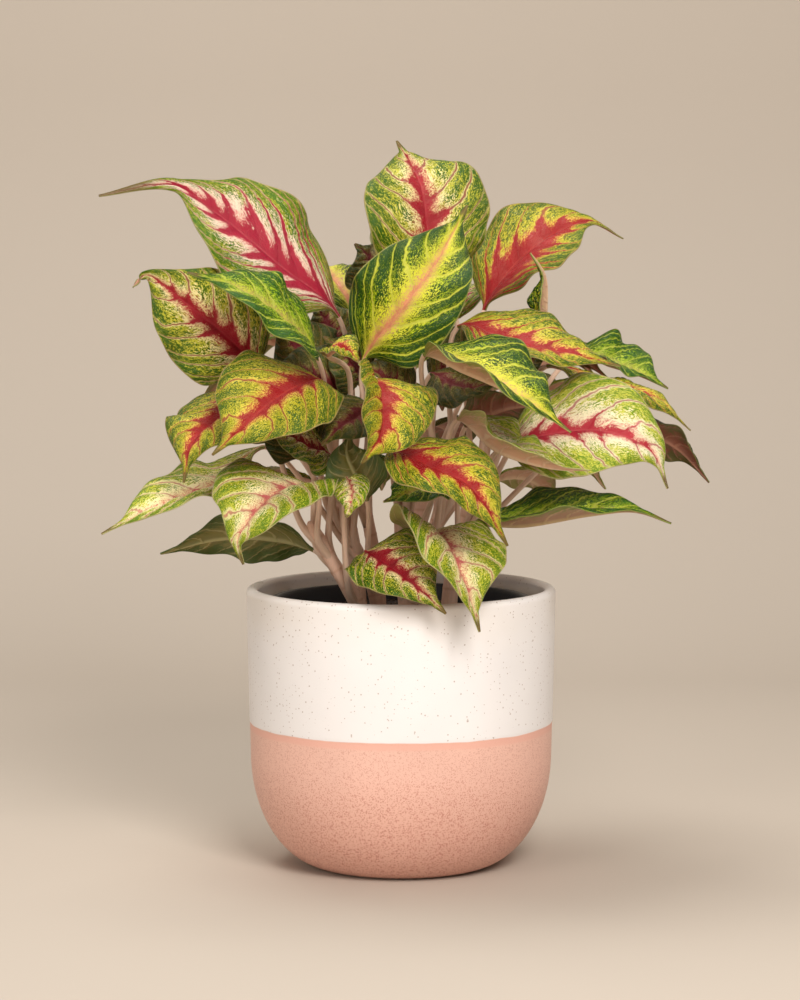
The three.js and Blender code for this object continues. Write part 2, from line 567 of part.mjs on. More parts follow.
add('ceramic_pot', ceramicPot(), materials.ceramic);
add('nursery_pot', nurseryPot(), materials.plastic);
add('soil', soil(), materials.soil);
for (const [name, cane] of Object.entries(canes)) {
  add(`cane_${name}`, caneSolid(cane), materials.cane);
}
for (const row of leaves) {
  add(`leaf_${row.name}`, seatedLeaf({ ...USUAL, ...row }), materials[row.finish]);
}

export default plant;
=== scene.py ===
"""A Chinese evergreen in a two-tone glazed pot, dressed around its packed frame.

The frame gives the solids and their size. Each piece here stands for one of them, with
the same place and form and with the detail that the solids leave out. Only some small
leaves deep in the plant have no solid.
"""

import functools
import math
import random

import bmesh
import bpy
import numpy as np
from bpy.props import FloatProperty, FloatVectorProperty, IntProperty, PointerProperty
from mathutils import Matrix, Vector


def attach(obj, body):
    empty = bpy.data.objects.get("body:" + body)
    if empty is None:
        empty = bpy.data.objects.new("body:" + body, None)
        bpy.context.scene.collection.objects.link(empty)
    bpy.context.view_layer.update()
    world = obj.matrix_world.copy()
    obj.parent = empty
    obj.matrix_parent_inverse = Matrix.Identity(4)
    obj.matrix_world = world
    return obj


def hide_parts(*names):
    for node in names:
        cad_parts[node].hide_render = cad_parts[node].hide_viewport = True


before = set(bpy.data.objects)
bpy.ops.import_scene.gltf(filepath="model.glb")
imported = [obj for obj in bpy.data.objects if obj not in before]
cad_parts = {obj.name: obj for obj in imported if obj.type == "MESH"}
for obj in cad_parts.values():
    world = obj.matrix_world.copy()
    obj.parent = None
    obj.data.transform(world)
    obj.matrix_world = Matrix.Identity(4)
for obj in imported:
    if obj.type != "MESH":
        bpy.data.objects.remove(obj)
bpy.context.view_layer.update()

bl_info = {
    "name": "Potted Evergreen",
    "version": (1, 0, 0),
    "blender": (4, 5, 0),
    "location": "3D View > Sidebar > Evergreen",
    "description": "Builds a Chinese evergreen with variegated leaves in a glazed pot",
    "category": "Add Mesh",
}

MM = 0.001
BODY = "root"

# ------------------------------------------------- sizes, in millimetres where none is named

POT_RIM_RADIUS = 112.5
POT_WAIST = (110, 78)            # radius and height where the bowl turns into the wall
POT_BASE_RADIUS = 60
POT_HEIGHT = 204
POT_WALL = 8.5
POT_FLOOR = 9
POT_BENDS = ((84, 3), (108, 33))     # handles of the bowl's outside
HOLLOW_BENDS = ((99.5, 40), (88, 9))     # and of its inside
HOLLOW_FLOOR_RADIUS = 74
GLAZE_LINE = 106                 # where the white glaze ends
GLAZE_RIPPLE = 0.7               # how far that line wanders up and down
GLAZE_BLEED = (-0.4, 0.4)        # where the glazes meet, from the line
ROSY_FADE = (-6.5, -4.0)         # where the rosy band under the line comes in
RIM_TINT_AND_SHADE_FADE = (160, 203)          # heights between which the white glaze turns warmer and darker, partly its own tint and partly painted shade under the rim
LOW_FADE = (105, 20)             # the pink glaze turns deeper
CLAY_FADE = (1.2, 0.4)           # and the glaze gives way to bare clay
GLAZE_STEP = 0.35                # how far the white glaze stands proud of the pink one
GLAZE_EDGE = 2.2                 # how sharp that step is
POT_WOBBLE = 0.0011              # how unround a pot is, as a share of its radius

NURSERY_RIM_RADIUS = 96
NURSERY_BASE_RADIUS = 66
NURSERY_TOP = 195.3
NURSERY_BOTTOM = 9.3
NURSERY_WALL = 1.8
NURSERY_BAND = 7
NURSERY_WOBBLE = 0.0015
FLOOR_DISC = 34                  # radius of the inner part of its floor

SOIL_RADIUS = 88.6
SOIL_TOP = 183
SOIL_CROWN = 3
SOIL_BOTTOM = 11.6
MOUND_WAVES = 40                 # waves that make the soil uneven
MOUND_TURNS = (40, 420)          # how fast they turn over a metre
MOUND_SHARE = 9.0                # a wave's height times its turns
MOUND_HEIGHT = 1.6
MOUND_SINK = 0.6                 # how far the soil lies below its solid under the crumbs

# Each cane: the points it grows through and its radius.
CANES = {
    "front_left": ([(-19, -34, 160), (-29, -38, 192), (-50, -42, 228), (-66, -44, 256)], 5),
    "left": ([(-13, -10, 160), (-20, -14, 205), (-36, -16, 240), (-48, -17, 266)], 4.8),
    "inner": ([(-14, 14, 160), (-18, 14, 215), (-24, 12, 250), (-30, 10, 280)], 4.5),
    "middle": ([(8, -26, 160), (3, -28, 215), (1, -30, 250), (0, -32, 284)], 6),
    "right": ([(20, -6, 160), (18, -8, 215), (24, -12, 248), (37, -16, 274)], 4.8),
    "right_back": ([(34, 14, 160), (37, 15, 205), (48, 18, 255), (62, 20, 296)], 5.2),
    "back_left": ([(-30, 38, 160), (-34, 42, 220), (-42, 46, 262), (-50, 48, 296)], 5.2),
    "back": ([(10, 48, 160), (12, 54, 220), (15, 60, 262), (18, 66, 298)], 5.5),
}
CANE_TAPER = 0.25                # share of its radius that a cane loses to its tip
CANE_SIDES = 28
RING_SPACING = 0.0135            # in metres, as the user's settings are
RING_HALF_WIDTH = 0.0016         # in metres
RING_SWELL = 0.035               # share of the cane's radius
DOME_FROM = 0.88                 # share of a cane's length where its round tip begins

CRUMB_SIZE = 0.0021              # in metres
CRUMB_STRETCH = ((0.35, 0.3, 0.25), (1.0, 0.65, 0.5))    # from the flattest to the fullest
CRUMB_DENSITY = 62000            # on a square metre
SOIL_SEED = 11

PETIOLE_RADIUS = 2.3             # at the cane
PETIOLE_NECK = 1.7               # under the blade
FOOT_MARGIN = 0.45
SHEATH = 15                      # how far the sheath runs down the cane and up the petiole
SHEATH_SWELL = 0.75
TAIL_HALF_WIDTH = 3
TIP_HALF_WIDTH = 0.8
TIP_TAPER = 0.45
ROUNDNESS = 0.68                 # bends the blade's outline, fuller the smaller it is
ROUND_END = 0.1                  # share of the blade over which the petiole flattens
BLADE_FROM = 0.004               # where the stalk's colour ends
BASE_TAPER = 0.64
FULLNESS = 1.07                  # how much wider a blade is than its row says
FACE_AT = 0.45                   # where on the blade it looks the way that its row says
PER_SPAN = 24                    # points on a leaf's line from one given point to the next
REACH = 2.0                      # to each side when a leaf's direction is measured
LEAF_SEED = 5

# The waves of a margin: their share of the height, their number along the blade, their
# shift from leaf to leaf and between the two halves.
WAVES = ((1.0, 2.4, 1.7, 1.9), (0.6, 4.3, 2.9, -0.8))

# The sweep of floor and wall behind the plant, in metres.
BACKDROP_AT = 1.5
BACKDROP_BEND = 0.6
BACKDROP_HEIGHT = 3.2
BEND_STEPS = 12
FLOOR_REACH = 6.0

# Each light: where it stands and its size, in metres, and its colour.
LIGHTS = {
    "key": ((0.55, -2.0, 1.55), 0.9, 0xFFFBF8),
    "top": ((-0.35, 0.25, 1.9), 1.1, 0xFFFDFA),
    "fill": ((-1.3, -1.8, 0.8), 1.2, 0xFFFCF8),
}
LIT_POINT = (0, 0, 0.28)         # in metres
SKY = 0xF8F6F2
CAMERA_PLACE = (-0.0007, -2.5, 0.506)    # in metres
CAMERA_DOWN = 5.46               # degrees below the level


def leaf(name, cane, foot, finish, width, rib, face, fold=(24, 12),
         tail=0.09, swell=0.4, curl=24, via=(), look=None, lean=0.0, blush=1.0,
         veins=1.0, tail_width=TAIL_HALF_WIDTH):
    """One row of the leaf table: where a leaf grows, its midrib, its width and its folds."""
    return dict(name=name, cane=cane, foot=foot, finish=finish, width=width, rib=rib,
                face=face, fold=fold, tail=tail, swell=swell, curl=curl, via=via,
                look=look or finish, lean=lean, blush=blush, veins=veins,
                tail_width=tail_width)


# foot is the height at which a leaf leaves its cane, via the points that its petiole passes
# and rib the midrib from the blade's base to its tip. face is the way that the upper side
# looks, fold and curl in degrees how the halves fold up and bend back down. tail is the
# drip tip's share of the blade, and swell where along the rest the blade is widest.
LEAVES = [
    leaf("top_left", "inner", 277, "rose", 90, tail=0.25, swell=0.52, curl=18,
         rib=[(-44, -18, 399), (-87, -38, 439), (-131, -54, 476), (-160, -60, 495),
              (-212, -68, 488)],
         face=(0.3, -0.78, 0.62), fold=(20, 16), tail_width=6, veins=1.45),
    leaf("top_middle", "right_back", 278, "crimson", 90, swell=0.54, curl=16,
         rib=[(37, -5, 413), (21, -22, 455), (14, -14, 495), (-3, 22, 527)],
         face=(0.35, -1, 0.1), fold=(20, 10)),
    leaf("top_right", "right_back", 288, "crimson", 78, tail=0.15, swell=0.48, curl=20,
         rib=[(60, 12, 403), (79, 18, 433), (107, 26, 457), (137, 34, 468), (163, 38, 456)],
         face=(-0.25, -0.6, 0.75), fold=(30, 16),
         look="ember", lean=0.08, blush=1.75, tail_width=5),
    leaf("top_shaded", "inner", 270, "shade", 50,
         rib=[(-9, 30, 420), (-17, 36, 432), (-24, 40, 443), (-34, 44, 452)],
         face=(0.1, -0.8, 0.6), fold=(14, 10)),
    leaf("spear", "right_back", 290, "lime", 26, tail=0.3, curl=4,
         via=[(90, 6, 340)],
         rib=[(101, -22, 391), (103, -27, 410), (102, -31, 431), (92, -33, 447)],
         face=(-0.95, -0.3, 0.1), fold=(46, 30)),
    leaf("front_lime", "left", 244, "lime", 74, curl=14,
         via=[(-24, -38, 315)],
         rib=[(-27, -54, 370), (1, -74, 409), (25, -72, 442), (47, -48, 481)],
         face=(-0.1, -0.9, 0.2), fold=(24, 10)),
    leaf("left_lime", "left", 256, "lime", 64, curl=20,
         via=[(-52, -30, 330)],
         rib=[(-59, -66, 374), (-83, -102, 404), (-112, -122, 425), (-146, -132, 436)],
         face=(0.35, -0.55, 0.75), fold=(26, 14), look="fern"),
    leaf("left_dark", "inner", 262, "crimson", 74, curl=24,
         via=[(-62, -18, 320)],
         rib=[(-99, -45, 363), (-124, -66, 390), (-153, -78, 415), (-178, -84, 433),
              (-187, -86, 424)],
         face=(-0.25, -0.85, 0.3), fold=(20, 10)),
    leaf("left_pink", "left", 264, "rose", 82, swell=0.46, curl=26,
         via=[(-60, -24, 312)],
         rib=[(-56, -62, 357), (-84, -104, 350), (-111, -132, 328), (-129, -146, 312)],
         face=(-0.02, -0.72, 0.66), fold=(24, 14), look="ember"),
    leaf("left_behind", "front_left", 253, "rose", 76, swell=0.45, curl=30,
         rib=[(-103, -44, 344), (-128, -84, 332), (-145, -104, 317), (-151, -112, 290)],
         face=(-0.5, -0.7, 0.5), fold=(22, 12), look="ember"),
    leaf("left_under", "back_left", 266, "shade", 50, curl=16,
         rib=[(-74, 10, 321), (-97, 20, 314), (-121, 26, 309), (-142, 30, 304)],
         face=(0, 0.3, 1), fold=(10, 10)),
    leaf("left_inner", "front_left", 240, "crimson", 50,
         rib=[(-51, -38, 302), (-66, -50, 310), (-84, -60, 321), (-100, -68, 328)],
         face=(0.1, -0.6, 0.8), fold=(20, 10)),
    leaf("low_left", "left", 238, "cream", 60, tail=0.1, swell=0.55, curl=14,
         rib=[(-97, -30, 308), (-127, -52, 285), (-168, -76, 271), (-210, -92, 252)],
         face=(-0.15, -0.35, 0.9), fold=(28, 18), look="pear"),
    leaf("low_left_front", "front_left", 244, "cream", 80, swell=0.52, curl=20,
         rib=[(-59, -60, 276), (-83, -104, 284), (-104, -140, 267), (-112, -148, 252),
              (-108, -150, 237)],
         face=(0.02, -0.31, 0.9), fold=(25, 20), look="pear"),
    leaf("low_left_under", "front_left", 196, "shade", 56,
         rib=[(-62, -5, 230), (-97, 8, 238), (-136, 20, 236), (-177, 26, 225)],
         face=(0, 0.65, 0.7), fold=(14, 8), look="moss"),
    leaf("front_folded", "middle", 280, "rose", 70, curl=16,
         via=[(12, -58, 318), (-4, -88, 348)],
         rib=[(-20, -96, 362), (-13, -120, 348), (-14, -140, 326), (-27, -146, 306)],
         face=(0.6, -0.7, 0.35), fold=(44, 24), look="ember", blush=0.9),
    leaf("front_small", "left", 252, "rose", 28,
         via=[(-36, -42, 338), (-38, -72, 367)],
         rib=[(-51, -102, 378), (-42, -112, 383), (-35, -118, 380), (-29, -122, 374)],
         face=(0.1, -0.5, 0.85), fold=(30, 20), look="ember"),
    leaf("front_shaded", "middle", 270, "shade", 46,
         rib=[(-16, -62, 336), (-34, -82, 332), (-46, -94, 324), (-55, -102, 315)],
         face=(-0.1, -0.8, 0.6), fold=(16, 10)),
    leaf("front_under", "left", 214, "shade", 42,
         rib=[(-24, -68, 273), (-31, -74, 290), (-38, -72, 306), (-36, -64, 321)],
         face=(0.1, 0.95, 0.2), fold=(14, 10), look="moss"),
    leaf("front_low_small", "middle", 236, "lime", 40,
         rib=[(28, -58, 288), (16, -82, 284), (3, -100, 280), (-12, -116, 277)],
         face=(-0.1, -0.6, 0.8), fold=(16, 10), look="fern"),
    leaf("front_red", "middle", 256, "crimson", 62, curl=26,
         via=[(6, -60, 294)],
         rib=[(-7, -92, 312), (20, -122, 302), (47, -142, 290), (73, -152, 250)],
         face=(0.1, -0.6, 0.8), fold=(26, 20), look="ember", blush=1.45, lean=0.06),
    leaf("right_lime", "right", 263, "lime", 78, swell=0.48, curl=12,
         rib=[(16, -91, 377), (43, -119, 368), (79, -142, 352), (116, -152, 328)],
         face=(0.1, -0.2, 1), fold=(48, 20)),
    leaf("right_shaded", "middle", 262, "shade", 46,
         rib=[(21, -46, 361), (36, -58, 355), (54, -70, 353), (72, -76, 358)],
         face=(0, -0.6, 0.8), fold=(10, 10)),
    leaf("right_pink", "right", 269, "rose", 68, curl=20,
         rib=[(40, -40, 394), (80, -62, 385), (119, -76, 377), (154, -80, 369)],
         face=(0.15, -0.5, 0.85), fold=(26, 14), look="ember", lean=0.1, blush=1.5),
    leaf("right_green", "right_back", 256, "lime", 58, curl=14,
         rib=[(127, 20, 371), (154, 16, 364), (175, 10, 357), (194, 4, 348)],
         face=(0.1, -0.3, 0.95), fold=(36, 20), look="fern"),
    leaf("right_long", "right_back", 244, "rose", 58, swell=0.5, curl=24,
         rib=[(104, -18, 365), (143, -28, 352), (178, -32, 345), (208, -28, 320)],
         face=(0.15, -0.15, 1), fold=(10, 10), look="ember", lean=0.1),
    leaf("right_cream", "right", 273, "cream", 82, swell=0.48, curl=20,
         via=[(53, -30, 284)],
         rib=[(70, -54, 308), (101, -74, 320), (143, -92, 324), (174, -100, 311),
              (186, -104, 285)],
         face=(0.1, -0.8, 0.6), fold=(22, 12)),
    leaf("right_under", "right_back", 232, "shade", 50,
         rib=[(145, 10, 321), (174, 6, 318), (203, 2, 303), (224, -2, 280)],
         face=(0.3, 0.5, 0.8), fold=(12, 12)),
    leaf("right_folded", "right", 242, "cream", 60, curl=10,
         rib=[(40, -70, 331), (68, -100, 311), (103, -118, 301), (130, -128, 300)],
         face=(0, 0.15, 1), fold=(48, 16)),
    leaf("low_right", "right", 222, "lime", 62, tail=0.12, swell=0.5, curl=12,
         rib=[(46, -44, 252), (89, -68, 256), (133, -86, 265), (164, -94, 268), (189, -98, 260)],
         face=(0, -0.25, 1), fold=(40, 24), look="fern"),
    leaf("bottom_middle", "middle", 206, "rose", 62, swell=0.36, curl=24,
         via=[(-16, -50, 228)],
         rib=[(-25, -72, 237), (-8, -98, 230), (10, -122, 219), (31, -134, 201)],
         face=(-0.05, -0.68, 0.73), fold=(30, 20), look="crimson"),
    leaf("bottom_right", "middle", 216, "cream", 78, swell=0.45, curl=16,
         via=[(5, -46, 230)],
         rib=[(8, -52, 241), (28, -92, 251), (43, -130, 225), (54, -146, 190)],
         face=(0.45, -0.5, 0.74), fold=(24, 24), look="pear"),
    leaf("left_shaded", "back_left", 292, "shade", 44,
         rib=[(-43, 0, 376), (-50, 4, 389), (-57, 8, 401), (-65, 10, 410)],
         face=(0, -0.7, 0.7), fold=(12, 12)),
    leaf("right_brown", "right_back", 220, "shade", 54,
         rib=[(46, -24, 322), (62, -30, 331), (80, -36, 337), (103, -38, 338)],
         face=(0, 0.6, 0.8), fold=(12, 12)),
    leaf("front_tip", "front_left", 206, "rose", 26,
         rib=[(-38, -94, 291), (-34, -104, 284), (-35, -112, 274), (-38, -116, 266)],
         face=(-0.2, -0.8, 0.6), fold=(30, 20), look="pear"),
    leaf("side_left", "back_left", 286, "rose", 58,
         rib=[(-72, 28, 368), (-105, 36, 382), (-135, 42, 380), (-160, 46, 360)],
         face=(-0.2, 0.1, 1)),
    leaf("back_1", "back_left", 254, "rose", 62,
         rib=[(-70, 60, 330), (-108, 92, 342), (-138, 115, 328), (-154, 130, 298)],
         face=(0, 0.3, 1)),
    leaf("back_2", "back_left", 276, "crimson", 66,
         rib=[(-55, 70, 365), (-82, 108, 385), (-103, 140, 380), (-114, 164, 350)],
         face=(-0.1, 0.5, 0.9)),
    leaf("back_3", "back_left", 286, "lime", 64,
         rib=[(-35, 60, 396), (-50, 92, 424), (-62, 125, 430), (-70, 155, 412)],
         face=(-0.1, 0.2, 1)),
    leaf("back_4", "back", 262, "cream", 64,
         rib=[(-5, 85, 345), (-15, 122, 360), (-20, 156, 350), (-22, 180, 320)],
         face=(0, 0.4, 0.9)),
    leaf("back_5", "back", 290, "rose", 66,
         rib=[(30, 90, 385), (36, 122, 410), (42, 154, 412), (46, 180, 392)],
         face=(0, 0.3, 0.95)),
    leaf("back_6", "back", 252, "lime", 62,
         rib=[(50, 85, 330), (82, 115, 344), (108, 138, 338), (125, 156, 312)],
         face=(0.2, 0.4, 0.9)),
    leaf("back_7", "back", 286, "rose", 64,
         rib=[(60, 62, 360), (95, 84, 374), (126, 102, 370), (150, 116, 346)],
         face=(0.1, 0.3, 1)),
    leaf("back_8", "back", 294, "crimson", 70,
         rib=[(10, 60, 420), (15, 75, 460), (18, 90, 490), (20, 110, 505)],
         face=(0, 0.9, 0.4), fold=(20, 10)),
    leaf("back_9", "right_back", 208, "rose", 60,
         rib=[(92, 48, 334), (132, 70, 344), (163, 88, 330), (182, 100, 302)],
         face=(0.2, 0.3, 1)),
    leaf("back_10", "back_left", 236, "cream", 56,
         rib=[(-78, 66, 296), (-104, 84, 310), (-126, 98, 312), (-142, 108, 302)],
         face=(-0.1, 0.3, 1), fold=(20, 12)),
    leaf("back_11", "back", 238, "shade", 58,
         rib=[(20, 95, 310), (30, 130, 312), (38, 160, 300), (42, 180, 276)],
         face=(0, 0.3, 1), fold=(20, 12)),
    leaf("back_12", "back", 226, "lime", 56,
         rib=[(80, 66, 300), (112, 92, 298), (140, 112, 284), (156, 122, 264)],
         face=(0.1, 0.3, 1), fold=(20, 12)),
]

# Small leaves deep in the plant, which only the looks need. They have no solid.
# inner_1 to inner_7 wear the dark shade finish: they fill the gaps behind the front leaves with
# painted shade.
INNER_LEAVES = [
    leaf("inner_1", "left", 250, "shade", 58,
         rib=[(-42, -40, 346), (-58, -50, 356), (-76, -58, 364), (-94, -62, 368)],
         face=(0, -0.75, 0.65), fold=(16, 10)),
    leaf("inner_2", "left", 258, "shade", 50,
         rib=[(-28, -24, 352), (-33, -32, 366), (-43, -40, 378), (-55, -44, 388)],
         face=(0.1, -0.8, 0.6), fold=(16, 10)),
    leaf("inner_3", "middle", 266, "shade", 52,
         rib=[(6, -42, 340), (-3, -50, 352), (-15, -56, 362), (-29, -60, 370)],
         face=(0.05, -0.8, 0.6), fold=(16, 10)),
    leaf("inner_4", "right", 266, "shade", 54,
         rib=[(24, -12, 350), (38, -16, 366), (52, -20, 380), (66, -24, 392)],
         face=(0, -0.85, 0.5), fold=(16, 10)),
    leaf("inner_5", "inner", 266, "shade", 56,
         rib=[(-50, -14, 352), (-66, -22, 370), (-80, -28, 386), (-92, -30, 400)],
         face=(0.1, -0.9, 0.4), fold=(14, 10)),
    leaf("inner_6", "front_left", 236, "shade", 46,
         rib=[(-64, -36, 300), (-74, -38, 316), (-84, -38, 330), (-92, -36, 344)],
         face=(-0.1, -0.85, 0.5), fold=(16, 10)),
    leaf("inner_7", "right_back", 262, "shade", 46,
         rib=[(66, -8, 350), (80, -16, 362), (94, -22, 371), (109, -26, 377)],
         face=(0.1, -0.8, 0.6), fold=(16, 10)),
    leaf("inner_8", "back_left", 250, "crimson", 46,
         rib=[(-40, 80, 312), (-52, 106, 318), (-62, 130, 312), (-68, 148, 294)],
         face=(-0.1, 0.5, 0.85), fold=(22, 12)),
    leaf("inner_9", "back", 268, "rose", 42,
         rib=[(18, 84, 328), (25, 108, 340), (30, 132, 338), (32, 152, 322)],
         face=(0.05, 0.5, 0.85), fold=(22, 12), look="ember"),
    leaf("inner_10", "back", 276, "crimson", 58,
         rib=[(0, 86, 374), (-8, 112, 388), (-14, 138, 386), (-16, 160, 368)],
         face=(0, 0.4, 0.9), fold=(22, 12)),
    leaf("inner_11", "right_back", 268, "rose", 58,
         rib=[(78, 46, 350), (106, 58, 364), (132, 68, 366), (154, 76, 352)],
         face=(0.2, 0.4, 0.9), fold=(22, 12), look="ember"),
    leaf("inner_12", "back_left", 244, "cream", 40,
         rib=[(-60, 32, 332), (-84, 35, 346), (-108, 38, 344), (-128, 40, 328)],
         face=(-0.2, 0.4, 0.9), fold=(22, 12), look="pear"),
    leaf("inner_13", "back", 230, "lime", 52,
         rib=[(-2, 86, 282), (-8, 112, 286), (-13, 136, 278), (-15, 156, 260)],
         face=(0, 0.5, 0.85), fold=(22, 12), look="fern"),
    leaf("inner_14", "back_left", 222, "rose", 52,
         rib=[(-56, 72, 268), (-76, 94, 274), (-94, 112, 268), (-106, 126, 252)],
         face=(-0.2, 0.5, 0.85), fold=(22, 12), look="crimson"),
    leaf("inner_15", "right_back", 224, "cream", 50,
         rib=[(62, 48, 272), (84, 68, 278), (104, 84, 270), (118, 96, 252)],
         face=(0.2, 0.5, 0.85), fold=(22, 12), look="pear"),
]


# ------------------------------------------------------------------ the user's settings

def srgb(code):
    """The linear colour of a screen colour written as 0xRRGGBB."""
    parts = [(code >> shift & 255) / 255 for shift in (16, 8, 0)]
    return tuple(p / 12.92 if p <= 0.04045 else ((p + 0.055) / 1.055) ** 2.4 for p in parts)


def paint(name, description, code):
    """A colour that the user may change."""
    return FloatVectorProperty(
        name=name, description=description, subtype="COLOR", size=3, min=0, max=1,
        default=srgb(code))


def length(name, description, default):
    """A length that the user may change, in metres."""
    return FloatProperty(
        name=name, description=description, subtype="DISTANCE", unit="LENGTH", default=default)


class EvergreenPotSettings(bpy.types.PropertyGroup):
    """The two pots."""
    white: paint("White glaze", "Glaze of the upper part", 0xEEE9E6)
    pink: paint("Pink glaze", "Glaze of the lower part", 0xEABBA8)
    speck: paint("Specks", "Iron specks in the white glaze", 0x8A6242)
    rose_speck: paint("Rose specks", "Specks in the pink glaze", 0xB4685A)
    plastic: paint("Nursery pot", "Plastic of the nursery pot", 0x1D1F23)
    sides: IntProperty(name="Sides", description="Facets around each pot", default=160, min=24)


class EvergreenSoilSettings(bpy.types.PropertyGroup):
    """The potting soil."""
    colour: paint("Soil", "Damp potting soil", 0x33271F)
    crumb: paint("Crumbs", "Bark and fibre in the soil", 0x7A604A)
    crumb_size: length("Crumb size", "Radius of the larger crumbs", CRUMB_SIZE)
    density: FloatProperty(name="Crumbs per area", description="Crumbs on a square metre",
                           default=CRUMB_DENSITY, min=0)
    seed: IntProperty(name="Seed", description="Where the crumbs lie", default=SOIL_SEED)


class EvergreenCaneSettings(bpy.types.PropertyGroup):
    """The canes."""
    bark: paint("Bark", "Young cane", 0xE6BCA2)
    scar: paint("Leaf scars", "Rings where leaves have grown", 0xC39478)
    ring_spacing: length("Ring spacing", "Distance between leaf scars", RING_SPACING)
    ring_swell: FloatProperty(name="Ring swell", description="How far a scar stands out",
                              default=RING_SWELL, subtype="FACTOR")
    stoutness: FloatProperty(name="Stoutness", description="Thickness with the old leaf bases",
                             default=1.2, min=0.5)
    sides: IntProperty(name="Sides", description="Facets around a cane",
                       default=CANE_SIDES, min=8)


class EvergreenLeafSettings(bpy.types.PropertyGroup):
    """The leaves."""
    blade: length("Blade thickness", "Thickness between the veins", 0.00055)
    rib_depth: length("Midrib", "How far the midrib stands out below", 0.0017)
    groove: length("Groove", "Depth of the channel over the midrib", 0.0008)
    quilt: length("Quilting", "Rise of the blade between two side veins", 0.0022)
    wave: length("Wave", "Height of the waves along a margin", 0.0029)
    petiole: paint("Petiole", "Leaf stalk", 0xE8C6AC)
    veins: FloatProperty(name="Side veins", description="Main side veins on each half",
                         default=6.6, min=2)


class EvergreenStageSettings(bpy.types.PropertyGroup):
    """Floor, light and camera."""
    ground: paint("Backdrop", "Floor and backdrop", 0xC0B4A6)
    key: FloatProperty(name="Key light", description="Power of the large soft light",
                       default=52.0, unit="POWER")
    fill: FloatProperty(name="Fill light", description="Power of the light from the left",
                        default=11.0, unit="POWER")
    top: FloatProperty(name="Top light", description="Power of the light above and behind",
                       default=22.0, unit="POWER")
    ambient: FloatProperty(name="Ambient", description="Brightness of the pale surroundings",
                           default=0.36, min=0)
    lens: FloatProperty(name="Lens", description="Focal length of the camera", default=124.34,
                        subtype="DISTANCE_CAMERA", unit="CAMERA")


# ------------------------------------------------------------------ node trees

class Net:
    """A node tree that is filled in with short calls."""

    def __init__(self, tree):
        self.tree = tree

    def add(self, kind, feeds=(), **settings):
        """Adds a node, with its settings, and feeds its inputs by name or number."""
        node = self.tree.nodes.new(kind)
        for name, value in settings.items():
            setattr(node, name, value)
        for key, value in dict(feeds).items():
            self.feed(node.inputs[key], value)
        return node

    def feed(self, socket, value):
        """Links a socket to an input, or sets the input's own value."""
        if isinstance(value, bpy.types.NodeSocket):
            self.tree.links.new(value, socket)
        elif socket.type == "RGBA" and len(value) == 3:
            socket.default_value = (*value, 1)
        else:
            socket.default_value = value

    def math(self, operation, *values):
        """The result of one sum on numbers."""
        node = self.add("ShaderNodeMath", enumerate(values), operation=operation)
        return node.outputs[0]

    def times(self, *values):
        """The product of numbers."""
        return functools.reduce(functools.partial(self.math, "MULTIPLY"), values)

    def plus(self, *values):
        """The sum of numbers."""
        return functools.reduce(functools.partial(self.math, "ADD"), values)

    def less(self, first, second):
        """The first number less the second."""
        return self.math("SUBTRACT", first, second)

    def step(self, value, low, high):
        """0 up to low and 1 from high, or the other way round where low is the greater."""
        node = self.add("ShaderNodeMapRange", {0: value, 1: low, 2: high},
                        interpolation_type="SMOOTHSTEP")
        return node.outputs[0]

    def blend(self, share, first, second, kind="MIX"):
        """One colour over another."""
        node = self.add("ShaderNodeMix", data_type="RGBA", blend_type=kind)
        for key, value in ((0, share), (6, first), (7, second)):
            self.feed(node.inputs[key], value)
        return node.outputs[2]

    def shade(self, colour, share):
        """A colour made darker or lighter."""
        return self.blend(1.0, colour, self.point(share, share, share), "MULTIPLY")

    def place(self):
        """Where a point lies on its object, in metres."""
        return self.add("ShaderNodeTexCoord").outputs["Object"]

    def noise(self, vector, scale, detail=2.0, roughness=0.5):
        """Smooth noise, about -1 to 1."""
        node = self.add("ShaderNodeTexNoise", {
            "Vector": vector, "Scale": scale, "Detail": detail, "Roughness": roughness})
        return self.times(self.less(node.outputs[0], 0.5), 3.2)

    def point(self, x, y, z):
        """A vector from three numbers."""
        return self.add("ShaderNodeCombineXYZ", {0: x, 1: y, 2: z}).outputs[0]

    def split(self, vector):
        """The three numbers of a vector."""
        return self.add("ShaderNodeSeparateXYZ", {0: vector}).outputs

    def attribute(self, name, output="Fac"):
        """An attribute of the mesh."""
        return self.add("ShaderNodeAttribute", attribute_name=name).outputs[output]

    def draw(self, seed):
        """A number from 0 to 1, drawn for each element."""
        node = self.add("FunctionNodeRandomValue", {"Seed": seed}, data_type="FLOAT")
        return node.outputs[1]

    def draw_point(self, seed, low, high):
        """A vector from low to high, drawn for each element."""
        node = self.add("FunctionNodeRandomValue", {0: low, 1: high, "Seed": seed},
                        data_type="FLOAT_VECTOR")
        return node.outputs[0]

    def mark(self, geometry, name, value, domain):
        """A geometry that holds a number as an attribute."""
        node = self.add("GeometryNodeStoreNamedAttribute", {
            "Geometry": geometry, "Name": name, "Value": value},
            data_type="FLOAT", domain=domain)
        return node.outputs[0]

    def dress(self, geometry, material):
        """A geometry with its instances made real and its material set."""
        real = self.add("GeometryNodeRealizeInstances", {0: geometry})
        node = self.add("GeometryNodeSetMaterial", {"Geometry": real.outputs[0],
                                                    "Material": material})
        return node.outputs[0]


# How the side veins leave the midrib, and how unevenly they are spaced.
VEIN_SWEEP = 0.44
VEIN_BEND = 1.25
SWAY = 0.018
SWAY_TURN = 23
SWAY_SHIFT = 40                  # from leaf to leaf
VEIN_WANDER = 0.16

# Noise on a blade: how fine it is along a vein and across the veins, what sets its two
# halves apart, and its detail.
FLECKS = (22.0, 12.0, 3.0, 4.0)
STIPPLE = (50.0, 28.0, 6.0, 1.0)
BLOTCHES = (3.6, 2.2, 1.3, 2.0)
GRAIN = (60.0, 40.0, 9.0, 2.0)
FLECK_ROUGHNESS = 0.72

